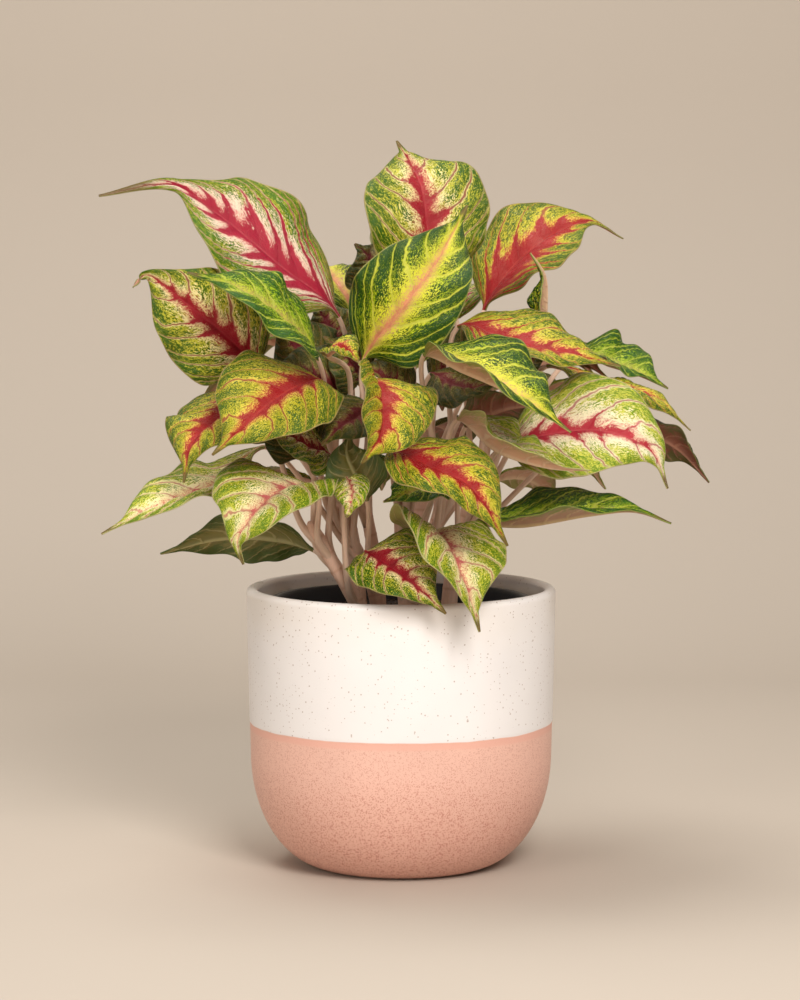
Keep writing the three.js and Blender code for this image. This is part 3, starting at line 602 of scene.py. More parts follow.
COLOUR, NUMBER, VECTOR = "NodeSocketColor", "NodeSocketFloat", "NodeSocketVector"

# What each leaf's shader groups take: where a point lies across and along the blade, the
# leaf's seed, size and blush, and its lean, dry tip and number of side veins.
LEAF_FACTS = {"Across": NUMBER, "Along": NUMBER, "Facts": VECTOR, "Habit": VECTOR}
COLOUR_NAMES = ("Rib", "Blush", "Pale", "Ground", "Dark", "Vein", "Edge")
SHARE_NAMES = {"rib": "Rib Width", "feather": "Feather", "pale": "Pale Reach",
               "dark": "Dark Start", "speckle": "Speckle", "halo": "Halo"}
BACK_NAMES = ("Flesh", "Olive", "Vein")
DRY_TIP = 0x7A6238
SPECK_WANDER = 0.0004


def shader_group(name, inputs, outputs):
    """A new shader group: its net, and the sockets that come in and go out."""
    tree = bpy.data.node_groups.new(name, "ShaderNodeTree")
    for way, sockets in (("INPUT", inputs), ("OUTPUT", outputs)):
        for label, kind in sockets.items():
            tree.interface.new_socket(name=label, in_out=way, socket_type=kind)
    net = Net(tree)
    return net, net.add("NodeGroupInput").outputs, net.add("NodeGroupOutput").inputs


def vein_phase(net, across, along, seed, veins):
    """Counts the side veins up the blade: a whole number lies on a vein.

    Each vein leaves the midrib and sweeps forward to the margin. The two sides alternate.
    """
    out = net.math("ABSOLUTE", across)
    sweep = net.times(net.math("POWER", out, VEIN_BEND), VEIN_SWEEP)
    origin = net.math("DIVIDE", net.less(along, sweep), net.less(1.0, sweep))
    side = net.times(net.math("GREATER_THAN", across, 0.0), 0.5)
    sway = net.math("SINE", net.plus(net.times(origin, SWAY_TURN), net.times(seed, SWAY_SHIFT)))
    even = net.plus(origin, net.times(sway, SWAY))
    where = net.point(net.times(across, 3.0), net.times(along, 9.0), net.times(seed, 30.0))
    wander = net.times(net.noise(where, 1.0), VEIN_WANDER)
    phase = net.plus(net.times(even, veins), side, seed, wander)
    between = net.times(net.math("PINGPONG", phase, 0.5), 2.0)
    return out, phase, between


def variegation():
    """The upper side of a leaf: a red midrib that feathers out along the side veins, a pale
    field stippled with the ground colour, a mosaic of dark flecks towards the margin, and
    thin veins with a ragged pale halo."""
    colours = dict.fromkeys(COLOUR_NAMES, COLOUR)
    numbers = dict.fromkeys(SHARE_NAMES.values(), NUMBER)
    net, given, made = shader_group("variegation", LEAF_FACTS | colours | numbers, {
        "Color": COLOUR, "Roughness": NUMBER, "Height": NUMBER})
    seed, size, blush = net.split(given["Facts"])
    lean, tip, veins = net.split(given["Habit"])
    out, phase, between = vein_phase(net, given["Across"], given["Along"], seed, veins)
    times, plus, step, blend = net.times, net.plus, net.step, net.blend
    side = net.math("SIGN", given["Across"])

    def drawn_out(along_vein, across_vein, shift, detail):
        """Noise that runs along the veins."""
        where = net.point(times(out, along_vein, size), times(phase, across_vein, size),
                          plus(times(seed, 91.0), times(side, shift)))
        return net.noise(where, 1.0, detail, FLECK_ROUGHNESS)

    fleck = times(drawn_out(*FLECKS), given["Speckle"])
    stipple = times(drawn_out(*STIPPLE), given["Speckle"])
    blotch = drawn_out(*BLOTCHES)
    grain = drawn_out(*GRAIN)
    close = net.less(1.0, between)
    ragged = plus(times(fleck, 0.95), times(stipple, 0.8))

    # The red: a band on the midrib, strokes along the veins, and a pink fringe.
    fade = net.less(1.12, times(given["Along"], 0.85))
    reach = times(plus(given["Rib Width"], times(lean, side)), blush, fade)
    stroke = times(net.math("POWER", close, 2.8), plus(0.8, blotch))
    strokes = times(times(given["Feather"], stroke), times(blush, fade))
    red_at = plus(reach, strokes, times(out, -1.0), times(ragged, 0.085))
    rib = step(red_at, -0.03, 0.05)
    fringe = times(step(plus(red_at, times(ragged, 0.10)), -0.14, 0.02), 0.75)

    # The pale field beside it, and the dark flecks towards the margin.
    pale_at = plus(times(net.less(given["Pale Reach"], out), 2.2),
                   times(ragged, -0.9), times(blotch, 0.35), times(close, 0.15))
    pale = step(pale_at, -0.10, 0.12)
    dark_at = plus(times(net.less(out, given["Dark Start"]), 0.85), ragged,
                   times(blotch, 0.35), times(net.less(between, 0.5), 0.35))
    dark = step(dark_at, -0.06, 0.10)

    # The side veins, each with its halo, and the margin.
    halo_at = plus(between, times(ragged, 0.12), times(given["Halo"], -1.0))
    halo = times(step(halo_at, 0.08, -0.08), step(out, 1.25, 0.6))
    line_at = plus(between, times(blotch, 0.05))
    line = times(step(line_at, 0.115, 0.045), step(out, 1.0, 0.85))
    edge = step(out, 0.972, 0.99)
    crest = step(out, 0.035, 0.008)

    colour = blend(dark, given["Ground"], given["Dark"])
    colour = blend(halo, colour, blend(0.75, given["Ground"], given["Pale"]))
    colour = blend(pale, colour, given["Pale"])
    colour = blend(times(line, 0.85), colour, given["Vein"])
    colour = blend(fringe, colour, given["Blush"])
    colour = blend(rib, colour, given["Rib"])
    colour = blend(times(crest, 0.3), colour, given["Blush"])
    colour = blend(times(edge, 0.6), colour, given["Edge"])
    colour = blend(times(tip, 0.85), colour, srgb(DRY_TIP))
    # Random blotches and grain vary the tone, and the colour is also darkened along each side
    # vein: painted shade in the dips of the quilted blade.
    tone = plus(times(blotch, 0.10), times(grain, 0.06), times(close, -0.12), 0.95)
    net.feed(made["Color"], net.shade(colour, tone))
    net.feed(made["Roughness"], plus(times(grain, 0.04), times(pale, 0.05), 0.26))
    net.feed(made["Height"], plus(times(net.math("POWER", between, 0.5), 0.6),
                                  times(ragged, 0.12), times(grain, 0.08)))
    return net.tree


def leaf_back():
    """The under side of a leaf: dull flesh and olive, with pale veins that stand out."""
    net, given, made = shader_group("leaf_back", LEAF_FACTS | dict.fromkeys(BACK_NAMES, COLOUR),
                                    {"Color": COLOUR, "Height": NUMBER})
    seed, size, _ = net.split(given["Facts"])
    veins = net.split(given["Habit"])[2]
    out, phase, between = vein_phase(net, given["Across"], given["Along"], seed, veins)
    times, plus, step = net.times, net.plus, net.step
    where = net.point(times(out, 9.0, size), times(phase, 8.0, size),
                      plus(times(seed, 57.0), times(given["Across"], 2.0)))
    mottle = net.noise(where, 1.0, 4.0, 0.6)
    olive = step(plus(out, times(mottle, 0.5), times(between, 0.3)), 0.45, 0.95)
    colour = net.blend(olive, given["Flesh"], given["Olive"])
    vein = times(step(between, 0.2, 0.05), step(out, 1.0, 0.8))
    middle = step(out, 0.10, 0.03)
    pale = net.math("MAXIMUM", times(vein, 0.55), times(middle, 0.8))
    colour = net.blend(pale, colour, given["Vein"])
    net.feed(made["Color"], net.shade(colour, plus(times(mottle, 0.07), 0.98)))
    net.feed(made["Height"], plus(times(vein, 0.8), times(mottle, 0.1)))
    return net.tree


def specks():
    """Round specks scattered through a glaze, as a mask."""
    net, given, made = shader_group("specks", {
        "Vector": VECTOR, "Scale": NUMBER, "Size": NUMBER, "Share": NUMBER,
    }, {"Mask": NUMBER})
    wander = net.add("ShaderNodeTexNoise", {"Vector": given["Vector"], "Scale": 900.0})
    bent = net.add("ShaderNodeVectorMath", {0: wander.outputs[1], 1: (SPECK_WANDER,) * 3},
                   operation="MULTIPLY")
    moved = net.add("ShaderNodeVectorMath", {0: given["Vector"], 1: bent.outputs[0]},
                    operation="ADD")
    cell = net.add("ShaderNodeTexVoronoi", {"Vector": moved.outputs[0], "Scale": given["Scale"]})
    pick, grow, _ = net.split(cell.outputs["Color"])
    reach = net.times(given["Size"], net.plus(grow, 0.35))
    spot = net.step(net.less(cell.outputs["Distance"], reach), 0.05, -0.02)
    chosen = net.math("LESS_THAN", pick, given["Share"])
    net.feed(made["Mask"], net.times(spot, chosen))
    return net.tree


GROUPS = {}


def group(net, maker, feeds):
    """Places a shader group, which is built at its first use."""
    if maker not in GROUPS:
        GROUPS[maker] = maker()
    node = net.add("ShaderNodeGroup", node_tree=GROUPS[maker])
    for name, value in feeds.items():
        net.feed(node.inputs[name], value)
    return node.outputs


def surface(name, **constants):
    """A new material: the material, its net, and its Principled shader with the constants set."""
    material = bpy.data.materials.new(name)
    material.use_nodes = True
    net = Net(material.node_tree)
    shader = material.node_tree.nodes["Principled BSDF"]
    for label, value in constants.items():
        net.feed(shader.inputs[label.replace("_", " ")], value)
    return material, net, shader.inputs


def relief(net, shader, height, distance, strength=1.0):
    """Bump from a height, in metres at full height."""
    bump = net.add("ShaderNodeBump", {"Height": height, "Distance": distance,
                                      "Strength": strength})
    net.feed(shader["Normal"], bump.outputs[0])


# ------------------------------------------------------------------ materials

# The upper side of each kind of leaf: its colours in the order of COLOUR_NAMES, and how far
# across the blade each of them reaches.
FINISHES = {
    "rose": dict(colours=(0xB42440, 0xDC6C70, 0xF8DCC0, 0xC4C232, 0x46700A, 0xAE4650, 0xD8BC88),
                 rib=0.17, feather=1.10, pale=0.44, dark=0.56, speckle=1.05, halo=0.17),
    "crimson": dict(colours=(0xA4162A, 0xC2444A, 0xF2E0A0, 0xCAC436, 0x365C06, 0x8A2830, 0xC8B070),
                    rib=0.14, feather=0.34, pale=0.26, dark=0.52, speckle=1.05, halo=0.17),
    "ember": dict(colours=(0xAA1E26, 0xCC5240, 0xE4CC50, 0xCEC22E, 0x405E06, 0x98302A, 0xCCA870),
                  rib=0.21, feather=0.36, pale=0.14, dark=0.55, speckle=1.1, halo=0.17),
    "lime": dict(colours=(0xE29070, 0xE8B07C, 0xE0DC3A, 0xACBE12, 0x1C4604, 0xD4D450, 0xB8B060),
                 rib=0.075, feather=0.05, pale=0.25, dark=0.31, speckle=1.0, halo=0.15),
    "fern": dict(colours=(0xC8A868, 0xC8B068, 0xC8D040, 0x98B41A, 0x22560A, 0xC4CC50, 0xB0AC5C),
                 rib=0.03, feather=0.03, pale=0.10, dark=0.34, speckle=1.0, halo=0.13),
    "cream": dict(colours=(0xB8243A, 0xD86C6C, 0xF8EAC2, 0xD0CE48, 0x6C8C16, 0xBE6A68, 0xDCC498),
                  rib=0.11, feather=0.44, pale=0.38, dark=0.74, speckle=1.1, halo=0.22),
    "pear": dict(colours=(0xCC6260, 0xDF9878, 0xFAECB2, 0xD2D03C, 0x60800E, 0xC87C66, 0xDCC498),
                 rib=0.035, feather=0.2, pale=0.26, dark=0.60, speckle=1.1, halo=0.26),
    # shade: the same markings in darker, browner colours, painted shade for leaves that lie deep
    # in the plant.
    "shade": dict(colours=(0x7E2430, 0x8C4A44, 0x9C9448, 0x6C6018, 0x2A3A08, 0x6E3A30, 0x7E6A44),
                  rib=0.17, feather=0.30, pale=0.16, dark=0.48, speckle=1.0, halo=0.17),
    # moss: dark olive colours, partly painted shade, for low leaves whose under side shows.
    "moss": dict(colours=(0x7A3C34, 0x8C5A44, 0x9C9448, 0x6E7422, 0x2C440A, 0x8E7A4A, 0x7E6A44),
                 rib=0.05, feather=0.15, pale=0.1, dark=0.42, speckle=1.0, halo=0.17),
}

# The under side, with its colours in the order of BACK_NAMES.
BACKS = {
    "rose": (0xB88466, 0x8C8648, 0xD6AC8C),
    "crimson": (0xAC745C, 0x7E7E42, 0xCE9E82),
    "ember": (0xB47C62, 0x888046, 0xD4A486),
    "lime": (0xB89272, 0x868E3A, 0xDAB894),
    "fern": (0xA88468, 0x74802C, 0xCAB080),
    "cream": (0xCC9E7E, 0xA8A264, 0xE0C2A0),
    "pear": (0xC69A7C, 0xA29E5E, 0xDEC09C),
    # shade: a darker under side, painted shade for leaves that lie deep in the plant.
    "shade": (0x8A5440, 0x60602C, 0xAE7C62),
    # moss: a dark olive under side, partly painted shade.
    "moss": (0x787234, 0x485A1A, 0xB2A870),
}


def leaf_material(name, finish, pattern_maker, feeds, height, strength, **constants):
    """A material whose pattern, made by a shader group, reads the mesh of a leaf."""
    material, net, shader = surface(f"{name}_{finish}", Subsurface_Weight=0.06,
                                    Subsurface_Scale=0.003, **constants)
    facts = {label: net.attribute(label.lower(), "Vector" if kind == VECTOR else "Fac")
             for label, kind in LEAF_FACTS.items()}
    pattern = group(net, pattern_maker, facts | feeds)
    net.feed(shader["Base Color"], pattern["Color"])
    if "Roughness" in pattern:
        net.feed(shader["Roughness"], pattern["Roughness"])
    relief(net, shader, pattern["Height"], height, strength)
    return material


def upper_material(finish):
    """The satin upper side of one kind of leaf."""
    look = dict(FINISHES[finish])
    feeds = dict(zip(COLOUR_NAMES, map(srgb, look.pop("colours"))))
    feeds |= {SHARE_NAMES[key]: value for key, value in look.items()}
    return leaf_material("leaf_upper", finish, variegation, feeds, 0.0016, 0.9,
                         Specular_IOR_Level=0.42, Specular_Tint=(1.0, 0.97, 0.7))


def under_material(finish):
    """The dull under side of one kind of leaf."""
    feeds = dict(zip(BACK_NAMES, map(srgb, BACKS[finish])))
    return leaf_material("leaf_under", finish, leaf_back, feeds, 0.0006, 0.8, Roughness=0.58)


def scaled(colour, share):
    """A colour made darker or lighter."""
    return tuple(c * share for c in colour)


# Colours that the user's settings leave alone.
STALK_STREAK = 0xA98A6A
# The warmer, darker white under the rim: partly the glaze's own tint, partly painted shade.
RIM_TINT_AND_SHADE_GLAZE = 0xE4D6C2
LOW_PINK = 0xD89C86
ROSY_PINK = 0xE6A895
# The glaze inside the pot, near white and paler than the real glaze there: painted light on the
# inner wall, which the leaves shade.
INNER_GLAZE_PAINTED_LIGHT = (0xFFF6EA, 0xF2E6D6)
BARE_CLAY = 0xD8C3A8
DUST = 0x7A6F62
GREEN_BARK = 0x8C8458

# Specks in the glazes: cells in a metre, a speck's size in its cell, and the share of cells
# that hold one.
WHITE_SPECKS = ((430.0, 0.19, 0.38), (150.0, 0.085, 0.16))
ROSE_SPECKS = ((1250.0, 0.46, 0.6), (620.0, 0.34, 0.4))


def petiole_material(colour):
    """Smooth pink-brown stalks, paler towards the blade and streaked along their length."""
    material, net, shader = surface("petiole", Roughness=0.42, Subsurface_Weight=0.05,
                                    Subsurface_Scale=0.003)
    streaks = net.noise(net.attribute("span", "Vector"), 1.0, 3.0)
    pale = net.step(net.attribute("along"), -1.0, 0.0)
    body = net.blend(pale, scaled(colour, 0.78), colour)
    streaked = net.blend(net.step(streaks, -0.3, 1.8), body, srgb(STALK_STREAK))
    net.feed(shader["Base Color"], streaked)
    relief(net, shader, streaks, 0.0002, 0.5)
    return material


def speck_mask(net, where, layers):
    """Where the specks of two layers lie."""
    masks = [group(net, specks, {"Vector": where, "Scale": scale, "Size": size, "Share": share})
             for scale, size, share in layers]
    return net.math("MAXIMUM", masks[0]["Mask"], masks[1]["Mask"])


def rise(net, height, span, origin=0):
    """0 before a span of heights in millimetres over an origin, and 1 after it."""
    return net.step(height, *((origin + end) * MM for end in span))


def ceramic_material(pot):
    """White glaze with sparse iron specks over pink glaze with dense rose specks."""
    material, net, shader = surface("two_tone_glaze", IOR=1.5)
    where = net.place()
    z = net.split(where)[2]
    height = net.less(z, net.times(net.noise(where, 34.0), GLAZE_RIPPLE * MM))
    upper = rise(net, height, GLAZE_BLEED, GLAZE_LINE)
    band = net.times(rise(net, height, ROSY_FADE, GLAZE_LINE), net.less(1.0, upper))
    base = rise(net, z, CLAY_FADE)
    cloud = net.noise(where, 14.0, 3.0)
    clouded = net.step(cloud, -0.8, 1.2)
    fine = net.noise(where, 1300.0)

    white = net.blend(clouded, pot.white, scaled(pot.white, 0.93))
    # Under the rim the white turns warmer and darker in clouds: partly the glaze's own tint,
    # partly painted shade.
    rim_tint_and_shade = net.times(rise(net, z, RIM_TINT_AND_SHADE_FADE), net.step(cloud, -1.2, 1.4), 0.55)
    white = net.blend(rim_tint_and_shade, white, srgb(RIM_TINT_AND_SHADE_GLAZE))
    white = net.blend(net.times(speck_mask(net, where, WHITE_SPECKS), 0.52), white, pot.speck)

    pink = net.blend(clouded, pot.pink, scaled(pot.pink, 0.90))
    low = rise(net, z, LOW_FADE)
    pink = net.blend(net.times(low, 0.35), pink, srgb(LOW_PINK))
    rose = net.times(speck_mask(net, where, ROSE_SPECKS), net.plus(0.32, net.times(low, 0.42)),
                     net.less(1.0, net.times(band, 0.7)))
    pink = net.blend(rose, pink, pot.rose_speck)
    pink = net.blend(net.times(band, 0.55), pink, srgb(ROSY_PINK))

    outside = net.blend(upper, pink, white)
    # Inside, the near-white glaze paints light onto the shaded inner wall.
    inner_glaze_lit = net.blend(clouded, *map(srgb, INNER_GLAZE_PAINTED_LIGHT))
    colour = net.blend(net.attribute("inner"), outside, inner_glaze_lit)
    net.feed(shader["Base Color"], net.blend(base, colour, srgb(BARE_CLAY)))
    satin = net.plus(net.times(upper, -0.16), 0.46, net.times(base, 0.3), net.times(fine, 0.02))
    net.feed(shader["Roughness"], satin)
    relief(net, shader, net.plus(net.times(fine, 0.12), cloud), 0.0003, 0.5)
    return material


def plastic_material(colour):
    """Dark moulded plastic, dusty and finely scratched."""
    material, net, shader = surface("nursery_plastic")
    where = net.place()
    dust = net.noise(where, 60.0, 5.0, 0.65)
    dusty = net.times(net.step(dust, 0.1, 1.4), 0.28)
    net.feed(shader["Base Color"], net.blend(dusty, colour, srgb(DUST)))
    net.feed(shader["Roughness"], net.plus(net.times(dust, 0.08), 0.42))
    relief(net, shader, net.noise(where, 1500.0), 0.00008, 0.5)
    return material


def soil_material(colour):
    """Damp soil."""
    material, net, shader = surface("potting_soil")
    where = net.place()
    clods = net.noise(where, 260.0, 6.0, 0.7)
    damp = net.noise(where, 40.0)
    shaded = net.blend(net.step(clods, -1.0, 1.2), scaled(colour, 0.45), scaled(colour, 1.8))
    net.feed(shader["Base Color"], shaded)
    net.feed(shader["Roughness"], net.plus(net.times(damp, 0.1), 0.85))
    relief(net, shader, clods, 0.0012, 0.9)
    return material


def crumb_material(dark, light):
    """Bark, fibre and grit, from nearly black to mid brown."""
    material, net, shader = surface("soil_crumbs", Roughness=0.85)
    grain = net.noise(net.place(), 1500.0, 3.0)
    shaded = net.blend(net.math("POWER", net.attribute("tone"), 2.2), dark, light)
    net.feed(shader["Base Color"], net.shade(shaded, net.plus(net.times(grain, 0.25), 1.0)))
    relief(net, shader, grain, 0.0003, 0.6)
    return material


def cane_material(bark, scar):
    """A young cane, darker at its leaf scars and finely streaked."""
    material, net, shader = surface("cane_bark")
    ring = net.attribute("ring")
    where = net.place()
    x, y, z = net.split(where)
    drawn = net.point(net.times(x, 900.0), net.times(y, 900.0), net.times(z, 90.0))
    streaks = net.noise(drawn, 1.0, 4.0, 0.6)
    cloud = net.noise(where, 45.0, 3.0)
    green = net.blend(net.times(net.step(cloud, -0.2, 1.2), 0.45), bark, srgb(GREEN_BARK))
    streaked = net.blend(net.step(streaks, -1.2, 1.2), scaled(bark, 0.78), green)
    net.feed(shader["Base Color"], net.blend(net.times(ring, 0.7), streaked, scar))
    net.feed(shader["Roughness"], net.plus(net.times(streaks, 0.05), 0.52))
    relief(net, shader, net.plus(streaks, net.times(ring, -1.5)), 0.0003, 0.6)
    return material


def backdrop_material(colour):
    """A plain matt floor and backdrop, clear when it is seen from behind."""
    material, net, shader = surface("backdrop", Roughness=0.9, Specular_IOR_Level=0.1)
    mottle = net.noise(net.place(), 1.6, 3.0)
    net.feed(shader["Base Color"], net.shade(colour, net.plus(net.times(mottle, 0.012), 1.0)))
    back = net.add("ShaderNodeNewGeometry").outputs["Backfacing"]
    clear = net.add("ShaderNodeBsdfTransparent").outputs[0]
    tree = material.node_tree
    mixed = net.add("ShaderNodeMixShader", {0: back, 2: clear})
    tree.links.new(tree.nodes["Principled BSDF"].outputs[0], mixed.inputs[1])
    tree.links.new(mixed.outputs[0], tree.nodes["Material Output"].inputs[0])
    return material


# ------------------------------------------------------------------ meshes

def add_piece(name, mesh, node_names):
    """Puts a finished mesh in the scene as a piece that stands for any CAD nodes named."""
    piece = bpy.data.objects.new(name, mesh)
    bpy.context.scene.collection.objects.link(piece)
    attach(piece, BODY)
    if node_names:
        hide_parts(*node_names)
    return piece


def bezier(start, first, second, end, steps):
    """Points on a cubic curve, both ends included."""
    t = np.linspace(0, 1, steps + 1)[:, None]
    start, first, second, end = map(np.array, (start, first, second, end))
    return ((1 - t) ** 3 * start + 3 * (1 - t) ** 2 * t * first
            + 3 * (1 - t) * t ** 2 * second + t ** 3 * end)


def line(start, end, steps):
    """Points on a straight line, without its start."""
    t = np.linspace(0, 1, steps + 1)[1:, None]
    return (1 - t) * np.array(start) + t * np.array(end)


def lathe(name, profile, sides, wobble=0.0, inner_from=None):
    """Turns a profile of [radius, height] in millimetres. It starts and ends on the axis.

    wobble is how unround it is, as a share of its radius. The points of the profile from
    inner_from on get the attribute inner.
    """
    profile = np.array(profile, float)
    turn = np.arange(sides) * 2 * math.pi / sides
    ring = profile[1:-1]
    lean = 1 + wobble * np.sin(2 * turn[None, :] + 1.1 + ring[:, 1:2] * 0.004)
    lean += 0.6 * wobble * np.sin(3 * turn[None, :] + 2.3)
    radius = ring[:, 0:1] * lean
    x, y = radius * np.cos(turn), radius * np.sin(turn)
    z = np.repeat(ring[:, 1:2], sides, axis=1)
    points = np.stack([x, y, z], axis=-1).reshape(-1, 3)
    ends = [(0, 0, profile[0, 1]), (0, 0, profile[-1, 1])]
    points = np.vstack([points, ends]) * MM
    rows = len(ring)
    bottom, top = rows * sides, rows * sides + 1
    faces = []
    for i in range(rows - 1):
        for j in range(sides):
            a, b = i * sides + j, i * sides + (j + 1) % sides
            faces.append((a, b, b + sides, a + sides))
    last = (rows - 1) * sides
    for j in range(sides):
        after = (j + 1) % sides
        faces.append((bottom, after, j))
        faces.append((top, last + j, last + after))
    mesh = bpy.data.meshes.new(name)
    mesh.from_pydata(points.tolist(), [], faces)
    if inner_from is not None:
        inner = np.repeat(np.arange(1, rows + 1) >= inner_from, sides)
        store(mesh, "inner", "FLOAT", np.append(inner, (False, True)))
    mesh.shade_smooth()
    return mesh


def rounded_lip(outer, wall, top, steps):
    """A half circle over the top of a wall, from outside to inside."""
    half = wall / 2
    turn = np.linspace(0, math.pi, steps + 1)
    return np.stack([outer - half + half * np.cos(turn), top - half + half * np.sin(turn)], 1)


def pot_profile():
    """The ceramic pot's section, with a small step where the white glaze begins."""
    lip_side = POT_HEIGHT - POT_WALL / 2
    bowl = bezier((POT_BASE_RADIUS, 0), *POT_BENDS, POT_WAIST, 40)
    wall = line(POT_WAIST, (POT_RIM_RADIUS, lip_side), 110)
    wall[:, 0] += GLAZE_STEP * (1 / (1 + np.exp(-(wall[:, 1] - GLAZE_LINE) * GLAZE_EDGE)) - 1)
    bowl[:, 0] -= GLAZE_STEP * np.linspace(0, 1, len(bowl))
    lip = rounded_lip(POT_RIM_RADIUS, POT_WALL, POT_HEIGHT, 14)[1:]
    inside = (POT_WAIST[0] - POT_WALL, POT_WAIST[1])
    inner = line(lip[-1], inside, 24)
    hollow = bezier(inside, *HOLLOW_BENDS, (HOLLOW_FLOOR_RADIUS, POT_FLOOR), 20)[1:]
    foot = line((0, 0), (POT_BASE_RADIUS - GLAZE_STEP, 0), 6)[:-1]
    floor = line((HOLLOW_FLOOR_RADIUS, POT_FLOOR), (0, POT_FLOOR), 6)
    outside = [[(0, 0)], foot, bowl, wall, lip]
    return np.vstack([*outside, inner, hollow, floor]), sum(map(len, outside))


def nursery_radius(height):
    """The nursery pot's outside radius at a height over the floor."""
    rim = NURSERY_RIM_RADIUS - 3
    share = (height - NURSERY_BOTTOM) / (NURSERY_TOP - NURSERY_BOTTOM)
    return NURSERY_BASE_RADIUS + (rim - NURSERY_BASE_RADIUS) * share


def nursery_profile():
    """The nursery pot's section: thin tapered wall and rolled rim."""
    top, edge = NURSERY_TOP, NURSERY_RIM_RADIUS
    bottom, low = NURSERY_BOTTOM, NURSERY_BASE_RADIUS
    band, floor = top - NURSERY_BAND, bottom + NURSERY_WALL
    mouth = nursery_radius(top) - NURSERY_WALL
    base = [(0, bottom), (FLOOR_DISC, bottom), (low - 1.2, bottom), (low - 0.3, bottom + 0.4)]
    wall = [(nursery_radius(z), z) for z in np.linspace(bottom + 1.5, band - 1, 24)]
    rim = [(edge - 0.6, band - 0.7), (edge, band), (edge, top - 1.2), (edge - 0.3, top - 0.4),
           (edge - 1.1, top), (mouth + 0.6, top), (mouth, top - 0.6)]
    inner = [(nursery_radius(z) - NURSERY_WALL, z) for z in np.linspace(top - 3, floor + 1, 20)]
    inner_floor = [(low - NURSERY_WALL - 1, floor), (FLOOR_DISC, floor), (0, floor)]
    return base + wall + rim + inner + inner_floor


def soil_profile():
    """The soil's section under its crumbs."""
    top = bezier((SOIL_RADIUS, SOIL_TOP), (SOIL_RADIUS * 0.8, SOIL_TOP + SOIL_CROWN * 0.9),
                 (SOIL_RADIUS * 0.4, SOIL_TOP + SOIL_CROWN), (0, SOIL_TOP + SOIL_CROWN), 70)
    low = NURSERY_BASE_RADIUS - NURSERY_WALL - 0.6
    side = line((low, SOIL_BOTTOM), (SOIL_RADIUS, SOIL_TOP), 20)
    return np.vstack([[(0, SOIL_BOTTOM), (low, SOIL_BOTTOM)], side, top[1:]])


def soil_mounds(points, draw):
    """How high the uneven soil stands, over its mean, at points in metres."""
    mounds = np.zeros(len(points))
    for _ in range(MOUND_WAVES):
        push = draw.uniform(*MOUND_TURNS, 2) * draw.choice((-1, 1), 2)
        start = draw.uniform(0, math.tau)
        wave = np.sin(points[:, 0] * push[0] + points[:, 1] * push[1] + start)
        mounds += wave * MOUND_SHARE / np.linalg.norm(push)
    return mounds


def grown(points, per_span):
    """Points on the smooth centripetal curve through the given ones."""
    p = [np.array(point, float) for point in points]
    p = [2 * p[0] - p[1], *p, 2 * p[-1] - p[-2]]
    t = np.linspace(0, 1, per_span + 1)[:-1, None]
    spans = []
    for a, b, c, d in zip(p, p[1:], p[2:], p[3:]):
        before, here, after = (np.linalg.norm(w - v) ** 0.5 for v, w in ((a, b), (b, c), (c, d)))
        start = ((b - a) / before - (c - a) / (before + here) + (c - b) / here) * here
        end = ((c - b) / here - (d - b) / (here + after) + (d - c) / after) * here
        spans.append(b + start * t + (3 * (c - b) - 2 * start - end) * t ** 2
                     + (2 * (b - c) + start + end) * t ** 3)
    return np.vstack([*spans, p[-2][None]])


def smooth(value, low, high):
    """0 up to low, 1 from high, and smooth in between."""
    t = np.clip((value - low) / (high - low), 0, 1)
    return t * t * (3 - 2 * t)


# ------------------------------------------------------------------ leaves

def places_across(halves=(0.012, 0.03, 0.06, 0.11, 0.18, 0.27, 0.37, 0.47, 0.57, 0.67,
                          0.77, 0.86, 0.93, 0.975, 1.0)):
    """Where the columns of a blade lie, from edge to edge, closer at the midrib and edges."""
    side = np.array(halves)
    return np.concatenate([-side[::-1], [0], side])


def midrib(row):
    """The line of a leaf from its cane to its tip, in millimetres, and where the blade starts."""
    path, radius = CANES[row["cane"]]
    cane = grown(path, 40)
    at = min(np.searchsorted(cane[:, 2], row["foot"]), len(cane) - 1)
    aim = np.array((list(row["via"]) + list(row["rib"]))[0], float) - cane[at]
    rise = aim[2] / np.linalg.norm(aim)
    aim[2] = 0
    aim /= np.linalg.norm(aim)
    stem = radius * (1 - CANE_TAPER * at / (len(cane) - 1))
    start = cane[at] + aim * (stem + PETIOLE_RADIUS * max(rise, 0.3) + FOOT_MARGIN)
    heart = cane[np.searchsorted(cane[:, 2], row["foot"] - SHEATH)] + aim * stem * 0.2
    walk = grown([heart, start, *row["via"], *row["rib"]], PER_SPAN)
    return walk, PER_SPAN * (2 + len(row["via"]))


def blade_half_width(v, row):
    """Half the width of a blade from its base, v = 0, to its tip, v = 1."""
    tail = row["tail"]
    u = np.clip(v / (1 - tail), 0, 1)
    arch = np.sin(math.pi * u ** (math.log(0.5) / math.log(row["swell"])))
    ends = (1 - BASE_TAPER * smooth(u, 0.28, 0)) * (1 - TIP_TAPER * smooth(u, 0.7, 1))
    body = FULLNESS * row["width"] / 2 * np.maximum(arch, 0) ** ROUNDNESS * ends
    beyond = np.maximum(v - 1 + tail, 0) / tail
    wide = row["tail_width"]
    drip = (wide + (TIP_HALF_WIDTH - wide) * beyond) * (v > row["swell"])
    return np.maximum((body ** 4 + drip ** 4) ** 0.25, TIP_HALF_WIDTH)


